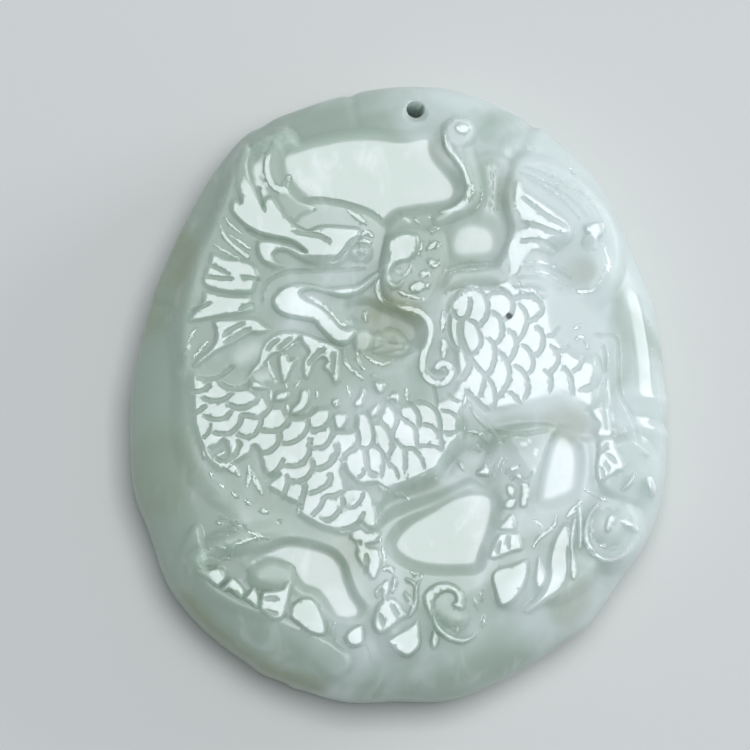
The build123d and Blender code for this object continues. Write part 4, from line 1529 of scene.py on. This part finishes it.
    def pierce(self, piece: bpy.types.Object) -> None:
        """Drills the hanging hole from front to back, with softened mouths.

        Args:
            piece: The closed pebble.
        """
        cutter = self.drill()
        cut = piece.modifiers.new("hole", "BOOLEAN")
        cut.operation = "DIFFERENCE"
        cut.solver = "EXACT"
        cut.object = cutter
        depsgraph = bpy.context.evaluated_depsgraph_get()
        piece.data = bpy.data.meshes.new_from_object(piece.evaluated_get(depsgraph))
        piece.modifiers.clear()
        bpy.data.objects.remove(cutter)

    def polish(self, mesh: bpy.types.Mesh) -> None:
        """Gives the mesh its shading directions, its gloss and its stains.

        Args:
            mesh: The drilled mesh.
        """
        mesh.shade_smooth()
        spots = np.zeros(len(mesh.vertices) * 3, np.float32)
        mesh.vertices.foreach_get("co", spots)
        places = spots.reshape(-1, 3).astype(float) / MM - self.offset
        normals = np.zeros(len(places) * 3, np.float32)
        mesh.vertices.foreach_get("normal", normals)
        normals = normals.reshape(-1, 3)
        from_hole = np.hypot(*(places[:, :2] - self.hole_place).T)
        carved = self.carved(places) & (from_hole > self.hole_radius + 2 * self.hole_mouth)
        outside = from_hole > self.hole_radius + self.bore_margin
        gloss = np.where(outside, self.carving.ground_gloss, 1.0)
        normals[carved], gloss[carved] = self.carving.finish(places[carved, :2])
        mesh.normals_split_custom_set_from_vertices(normals.tolist())
        mesh.attributes.new(GLOSS, "FLOAT", "POINT").data.foreach_set("value", gloss)
        mesh.attributes.new(STAIN, "FLOAT", "POINT").data.foreach_set("value", self.stains(places))

    def stains(self, places: np.ndarray) -> np.ndarray:
        """Says how stained the stone is.

        Args:
            places: Places in millimetres from the middle of the back.

        Returns:
            The stain at each one, from 0 to 1, weaker further down the wall.
        """
        stain, pixels = np.zeros(len(places)), self.carving.pixels(places[:, :2])
        for line, radius, strength in STAINS:
            away, _ = distance_to(pixels, np.array(line, float), STAIN_REACH * radius)
            stain = np.maximum(stain, strength * ease(STAIN_REACH - away / radius))
        return stain * ease(places[:, 2] / self.stain_depth)

    def build(self) -> bpy.types.Object:
        """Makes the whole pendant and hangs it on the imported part's body.

        Returns:
            The piece.
        """
        places, triangles = self.shell()
        for count in self.passes:
            places, triangles = self.refine(places, triangles, count)
        mesh = bpy.data.meshes.new("jade_pendant")
        mesh.from_pydata(((places + self.offset) * MM).tolist(), [], triangles.tolist())
        piece = placed("jade_pendant", mesh)
        self.pierce(piece)
        self.polish(piece.data)
        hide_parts(NODE)
        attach(piece, BODY)
        piece.data.calc_loop_triangles()
        logging.info("%s: %d triangles", piece.name, len(piece.data.loop_triangles))
        return piece


def placed(name: str, data: bpy.types.ID) -> bpy.types.Object:
    """Makes an object and puts it in the scene.

    Args:
        name: Its name.
        data: Its mesh, camera or lamp.

    Returns:
        The object.
    """
    thing = bpy.data.objects.new(name, data)
    bpy.context.scene.collection.objects.link(thing)
    return thing


def linear(colour: str) -> tuple[float, float, float, float]:
    """Turns an sRGB hex colour into the linear one that Blender takes.

    Args:
        colour: The colour as RRGGBB.

    Returns:
        Red, green, blue and an alpha of 1.
    """
    parts = [int(colour[place:place + 2], 16) / 255.0 for place in (0, 2, 4)]
    red, green, blue = (
        part / 12.92 if part <= 0.04045 else ((part + 0.055) / 1.055) ** 2.4 for part in parts)
    return red, green, blue, 1.0


def add_node(tree: Tree, kind: str, settings: dict[str, str],
             inputs: dict[str | int, Socket]) -> bpy.types.Node:
    """Adds a node with its settings and links.

    Args:
        tree: The node tree.
        kind: The shader node's type, such as TexNoise.
        settings: Its own values by name.
        inputs: Its sockets' values, or the outputs that they are linked to, by name or number.

    Returns:
        The node.
    """
    node = tree.nodes.new("ShaderNode" + kind)
    for name, value in settings.items():
        setattr(node, name, value)
    for name, value in inputs.items():
        if isinstance(value, bpy.types.NodeSocket):
            tree.links.new(value, node.inputs[name])
        else:
            node.inputs[name].default_value = value
    return node


# Sockets of the colour mix node: the share, the two colours, and the result
SHARE, FIRST, SECOND, RESULT = 0, 6, 7, 2
COLOURS = {"data_type": "RGBA"}
EASED = {"interpolation_type": "SMOOTHSTEP"}


@dataclass(frozen=True)
class Pattern:
    """A noise pattern: how large its forms are in millimetres, and how they are broken up."""

    form_mm: float
    detail: float = 2.0
    roughness: float = 0.5
    distortion: float = 0.0

    def at(self, place: Socket) -> dict[str | int, Socket]:
        """Gives the inputs of the noise node that draws it at a place."""
        return {"Vector": place, "Scale": 1.0 / (self.form_mm * MM), "Detail": self.detail,
                "Roughness": self.roughness, "Distortion": self.distortion}


@dataclass(frozen=True)
class Spread:
    """How a value is spread anew: a first range, and the range that it becomes."""

    low: float = 0.0
    high: float = 1.0
    new_low: float = 0.0
    new_high: float = 1.0

    def of(self, value: Socket) -> dict[str | int, Socket]:
        """Gives the inputs of the range node that spreads a value."""
        return {"Value": value, "From Min": self.low, "From Max": self.high,
                "To Min": self.new_low, "To Max": self.new_high}


# Nephrite, a stone of matted fibres, cut with abrasive wheels, sanded and polished. Light comes
# out of it a few millimetres from where it enters, so the carving glows softly and no groove
# turns black. The polished flats mirror the lamps, and the cuts are left satin.
@dataclass(frozen=True)
class PolishedNephrite:
    """Nephrite jade, carved, sanded and polished to a wet gloss.

    Patterns are sized in millimetres of the real stone. The polish's ripple is far finer there,
    and is drawn coarser here to show.
    """

    pale: str = "D6DFDC"
    green: str = "ACBBAE"
    milk: str = "E4ECE8"
    stain: str = "98A283"
    speck: str = "20241F"
    ior: float = 1.61
    polished: float = 0.10
    satin: float = 0.60
    scatter_mm: float = 2.6
    scatter_tint: Triple = (0.93, 1.0, 0.93)
    clouds: Pattern = Pattern(13.0, 3.0, 0.5, 0.6)
    cloud_spread: Spread = Spread(0.35, 0.68)
    # Partly painted shade: the colour turns greener and darker towards the left, partly the stone's own
    # tone and partly shade painted in where less light falls
    tone_and_shade_way: Triple = (-0.8, -0.1, 0.0)
    tone_and_shade_mm: float = 26.0
    tone_and_shade_ends: tuple[float, float] = (-0.26, 0.40)
    wisps: Pattern = Pattern(3.6, 4.0, 0.55, 1.2)
    wisp_turn: Triple = (0.3, 0.2, 0.9)
    wisp_stretch: Triple = (1.0, 0.6, 0.8)
    wisp_spread: Spread = Spread(0.50, 0.80, 0.0, 0.35)
    stain_spread: Spread = Spread(0.3, 0.6, 0.5, 1.0)
    speck_mm: float = 0.22
    speck_place: Triple = (10.5, 7.1, 11.72)
    speck_strength: float = 0.85
    wear: Spread = Spread(0.0, 1.0, 0.8, 1.2)
    ripples: Pattern = Pattern(1.4)
    ripple_mm: float = 0.01
    ripple_strength: float = 0.5

    def clouded(self, tree: Tree, place: Socket) -> Socket:
        """Colours the stone from pale to green in clouds, greener and darker towards the left: partly the
        stone's own tone and partly painted shade on the side that the lamps light less.

        Args:
            tree: The material's nodes.
            place: The place on the object.

        Returns:
            The colour.
        """
        cloud = add_node(tree, "TexNoise", {}, self.clouds.at(place)).outputs["Fac"]
        # Partly painted shade: the share of green grows towards the left, standing in partly for the shade
        # on that side
        across = add_node(tree, "VectorMath", {"operation": "DOT_PRODUCT"}, {
            0: place, 1: self.tone_and_shade_way}).outputs["Value"]
        tone_and_shade_spread = Spread(-self.tone_and_shade_mm * MM, self.tone_and_shade_mm * MM, *self.tone_and_shade_ends)
        tone_and_shade = add_node(tree, "MapRange", {}, tone_and_shade_spread.of(across)).outputs["Result"]
        uneven = add_node(tree, "Math", {"operation": "ADD"}, {
            0: cloud, 1: tone_and_shade}).outputs["Value"]
        share = add_node(tree, "MapRange", EASED, self.cloud_spread.of(uneven))
        return add_node(tree, "Mix", COLOURS, {
            SHARE: share.outputs["Result"], FIRST: linear(self.pale),
            SECOND: linear(self.green)}).outputs[RESULT]

    def marked(self, tree: Tree, place: Socket, wisp: Socket) -> Socket:
        """Lays milky wisps, the stains and the dark speck over the clouded stone.

        Args:
            tree: The material's nodes.
            place: The place on the object.
            wisp: The wisps' pattern.

        Returns:
            The colour.
        """
        wisps = add_node(tree, "MapRange", EASED, self.wisp_spread.of(wisp))
        milky = add_node(tree, "Mix", COLOURS, {
            SHARE: wisps.outputs["Result"], FIRST: self.clouded(tree, place),
            SECOND: linear(self.milk)})
        stains = add_node(tree, "Attribute", {"attribute_name": STAIN}, {})
        broken = add_node(tree, "MapRange", {}, self.stain_spread.of(wisp))
        patchy = add_node(tree, "Math", {"operation": "MULTIPLY"}, {
            0: stains.outputs["Fac"], 1: broken.outputs["Result"]}).outputs["Value"]
        stained = add_node(tree, "Mix", COLOURS, {
            SHARE: patchy, FIRST: milky.outputs[RESULT], SECOND: linear(self.stain)})
        away = add_node(tree, "VectorMath", {"operation": "DISTANCE"}, {
            0: place, 1: tuple(part * MM for part in self.speck_place)}).outputs["Value"]
        fading = Spread(self.speck_mm * MM, 2 * self.speck_mm * MM, self.speck_strength, 0.0)
        inside = add_node(tree, "MapRange", EASED, fading.of(away)).outputs["Result"]
        return add_node(tree, "Mix", COLOURS, {
            SHARE: inside, FIRST: stained.outputs[RESULT],
            SECOND: linear(self.speck)}).outputs[RESULT]

    def roughness(self, tree: Tree, wisp: Socket) -> Socket:
        """Turns the carving's gloss into roughness, a little uneven as a hand polish is.

        Args:
            tree: The material's nodes.
            wisp: The pattern of the unevenness.

        Returns:
            The roughness.
        """
        gloss = add_node(tree, "Attribute", {"attribute_name": GLOSS}, {})
        finish = Spread(0.0, 1.0, self.satin, self.polished).of(gloss.outputs["Fac"])
        smooth = add_node(tree, "MapRange", {}, finish).outputs["Result"]
        patches = add_node(tree, "MapRange", {}, self.wear.of(wisp)).outputs["Result"]
        return add_node(tree, "Math", {"operation": "MULTIPLY"}, {
            0: smooth, 1: patches}).outputs["Value"]

    def material(self) -> bpy.types.Material:
        """Makes the finish.

        Returns:
            The material.
        """
        jade = bpy.data.materials.new("polished_nephrite")
        jade.use_nodes = True
        tree = jade.node_tree
        tree.nodes.clear()
        place = add_node(tree, "TexCoord", {}, {}).outputs["Object"]
        stretched = add_node(tree, "Mapping", {}, {
            "Vector": place, "Rotation": self.wisp_turn, "Scale": self.wisp_stretch})
        wisps = self.wisps.at(stretched.outputs["Vector"])
        wisp = add_node(tree, "TexNoise", {}, wisps).outputs["Fac"]
        ripple = add_node(tree, "TexNoise", {}, self.ripples.at(place)).outputs["Fac"]
        bump = add_node(tree, "Bump", {}, {
            "Height": ripple, "Strength": self.ripple_strength,
            "Distance": self.ripple_mm * MM}).outputs["Normal"]
        shader = add_node(tree, "BsdfPrincipled", {"subsurface_method": "RANDOM_WALK"}, {
            "Base Color": self.marked(tree, place, wisp),
            "Roughness": self.roughness(tree, wisp), "Normal": bump, "IOR": self.ior,
            "Subsurface Weight": 1.0, "Subsurface Radius": self.scatter_tint,
            "Subsurface Scale": self.scatter_mm * MM}).outputs["BSDF"]
        add_node(tree, "OutputMaterial", {}, {"Surface": shader})
        return jade


# Emulsion paint rolled on to card: it scatters light evenly, so the floor shows only the soft
# shadow. The roller's tooth is finer on the real board, and is drawn coarser here to show.
@dataclass(frozen=True)
class MattBoard:
    """Pale board with a matt coat of paint: even, with a faint tooth and no gloss."""

    colour: str = "D9DAD6"
    roughness: float = 0.9
    specular: float = 0.2
    tooth: Pattern = Pattern(0.8)
    tooth_mm: float = 0.02
    tooth_strength: float = 0.3

    def material(self) -> bpy.types.Material:
        """Makes the finish.

        Returns:
            The material.
        """
        board = bpy.data.materials.new("matt_board")
        board.use_nodes = True
        tree = board.node_tree
        tree.nodes.clear()
        place = add_node(tree, "TexCoord", {}, {}).outputs["Object"]
        tooth = add_node(tree, "TexNoise", {}, self.tooth.at(place)).outputs["Fac"]
        bump = add_node(tree, "Bump", {}, {
            "Height": tooth, "Strength": self.tooth_strength,
            "Distance": self.tooth_mm * MM}).outputs["Normal"]
        shader = add_node(tree, "BsdfPrincipled", {}, {
            "Base Color": linear(self.colour), "Roughness": self.roughness, "Normal": bump,
            "Specular IOR Level": self.specular}).outputs["BSDF"]
        add_node(tree, "OutputMaterial", {}, {"Surface": shader})
        return board


@dataclass
class Studio:
    """A plain pale floor, soft light and the camera of the photograph.

    Lengths are in metres, unless a name says otherwise. A direction is its tilt away from
    straight up and its turn from the right, in degrees.
    """

    centre: Vector
    distance: float = 0.60
    tilt: float = 8.0
    tilt_from: float = 240.0
    view_width: float = 0.0753
    frame_px: float = 750.0
    sensor_mm: float = 36.0
    clip: tuple[float, float] = (0.01, 10.0)
    softbox_distance: float = 0.80
    softbox_size: float = 0.415
    softbox_watts: float = 3.95
    strip_way: tuple[float, float] = (74.0, 24.0)
    strip_distance: float = 0.6
    strip_size: tuple[float, float] = (0.26, 0.30)
    strip_watts: float = 1.4
    lamp_colour: str = "F6F9FF"
    world_colour: str = "D8E3E8"
    world_strength: float = 0.355
    floor_size: float = 2.0

    def towards(self, tilt: float, turn: float) -> Vector:
        """Gives a direction from the object.

        Args:
            tilt: Degrees away from straight up.
            turn: Degrees from the right, counterclockwise from above.

        Returns:
            The unit direction.
        """
        tilt, turn = math.radians(tilt), math.radians(turn)
        return Vector((math.sin(tilt) * math.cos(turn), math.sin(tilt) * math.sin(turn),
                       math.cos(tilt)))

    @staticmethod
    def facing(back: Vector) -> Quaternion:
        """Gives the turn of a camera or lamp that looks down with the photograph's up.

        Args:
            back: The direction from the object to it.

        Returns:
            The turn.
        """
        right = Vector((0.0, 1.0, 0.0)).cross(back).normalized()
        up = back.cross(right)
        return Matrix((right, up, back)).transposed().to_quaternion()

    def camera(self) -> None:
        """Places the camera and makes it the scene's own."""
        data = bpy.data.cameras.new("camera")
        data.sensor_width = self.sensor_mm
        data.lens = data.sensor_width * self.distance / self.view_width
        data.clip_start, data.clip_end = self.clip
        camera = placed("camera", data)
        back = self.towards(self.tilt, self.tilt_from)
        turn = self.facing(back)
        aside, down = (place - self.frame_px / 2 for place in MIDDLE_PX)
        pan = turn @ Vector((-aside, down, 0.0)) * self.view_width / self.frame_px
        camera.location = self.centre + back * self.distance + pan
        camera.rotation_mode = "QUATERNION"
        camera.rotation_quaternion = turn
        bpy.context.scene.camera = camera

    def softbox(self, name: str, way: Vector, distance: float, size: tuple[float, float],
                watts: float) -> None:
        """Adds one soft rectangular lamp that faces the object.

        Args:
            name: The lamp's name.
            way: The direction from the object to it.
            distance: How far away it stands, in metres.
            size: Its two sides, in metres.
            watts: Its power.
        """
        data = bpy.data.lights.new(name, "AREA")
        data.shape = "RECTANGLE"
        data.size, data.size_y = size
        data.color = linear(self.lamp_colour)[:3]
        data.energy = watts
        lamp = placed(name, data)
        lamp.location = self.centre + way * distance
        lamp.rotation_mode = "QUATERNION"
        lamp.rotation_quaternion = self.facing(way)

    def lights(self) -> None:
        """Lights the face from the camera's mirror direction, the rim from the right."""
        key = self.towards(self.tilt, self.tilt_from + 180.0)
        self.softbox("softbox", key, self.softbox_distance,
                     (self.softbox_size, self.softbox_size), self.softbox_watts)
        self.softbox("strip", self.towards(*self.strip_way), self.strip_distance,
                     self.strip_size, self.strip_watts)
        world = bpy.data.worlds.new("studio")
        world.use_nodes = True
        background = world.node_tree.nodes["Background"]
        background.inputs["Color"].default_value = linear(self.world_colour)
        background.inputs["Strength"].default_value = self.world_strength
        bpy.context.scene.world = world

    def floor(self) -> None:
        """Lays the floor under the pendant's back."""
        half = self.floor_size / 2
        mesh = bpy.data.meshes.new("floor")
        mesh.from_pydata([(-half, -half, 0), (half, -half, 0), (half, half, 0), (-half, half, 0)],
                         [], [(0, 1, 2, 3)])
        mesh.materials.append(MattBoard().material())
        floor = placed("floor", mesh)

    def build(self) -> None:
        """Sets up the whole studio."""
        self.camera()
        self.lights()
        self.floor()
        bpy.context.scene.view_settings.view_transform = "Standard"
        logging.info("studio ready")


def main() -> None:
    """Builds the pendant and its studio."""
    logging.basicConfig(level=logging.INFO, format="%(message)s")
    pendant = Pendant(CAD_LOW, CAD_HIGH).build()
    pendant.data.materials.clear()
    pendant.data.materials.append(PolishedNephrite().material())
    Studio((CAD_LOW + CAD_HIGH) / 2).build()


if __name__ == "__main__":
    main()
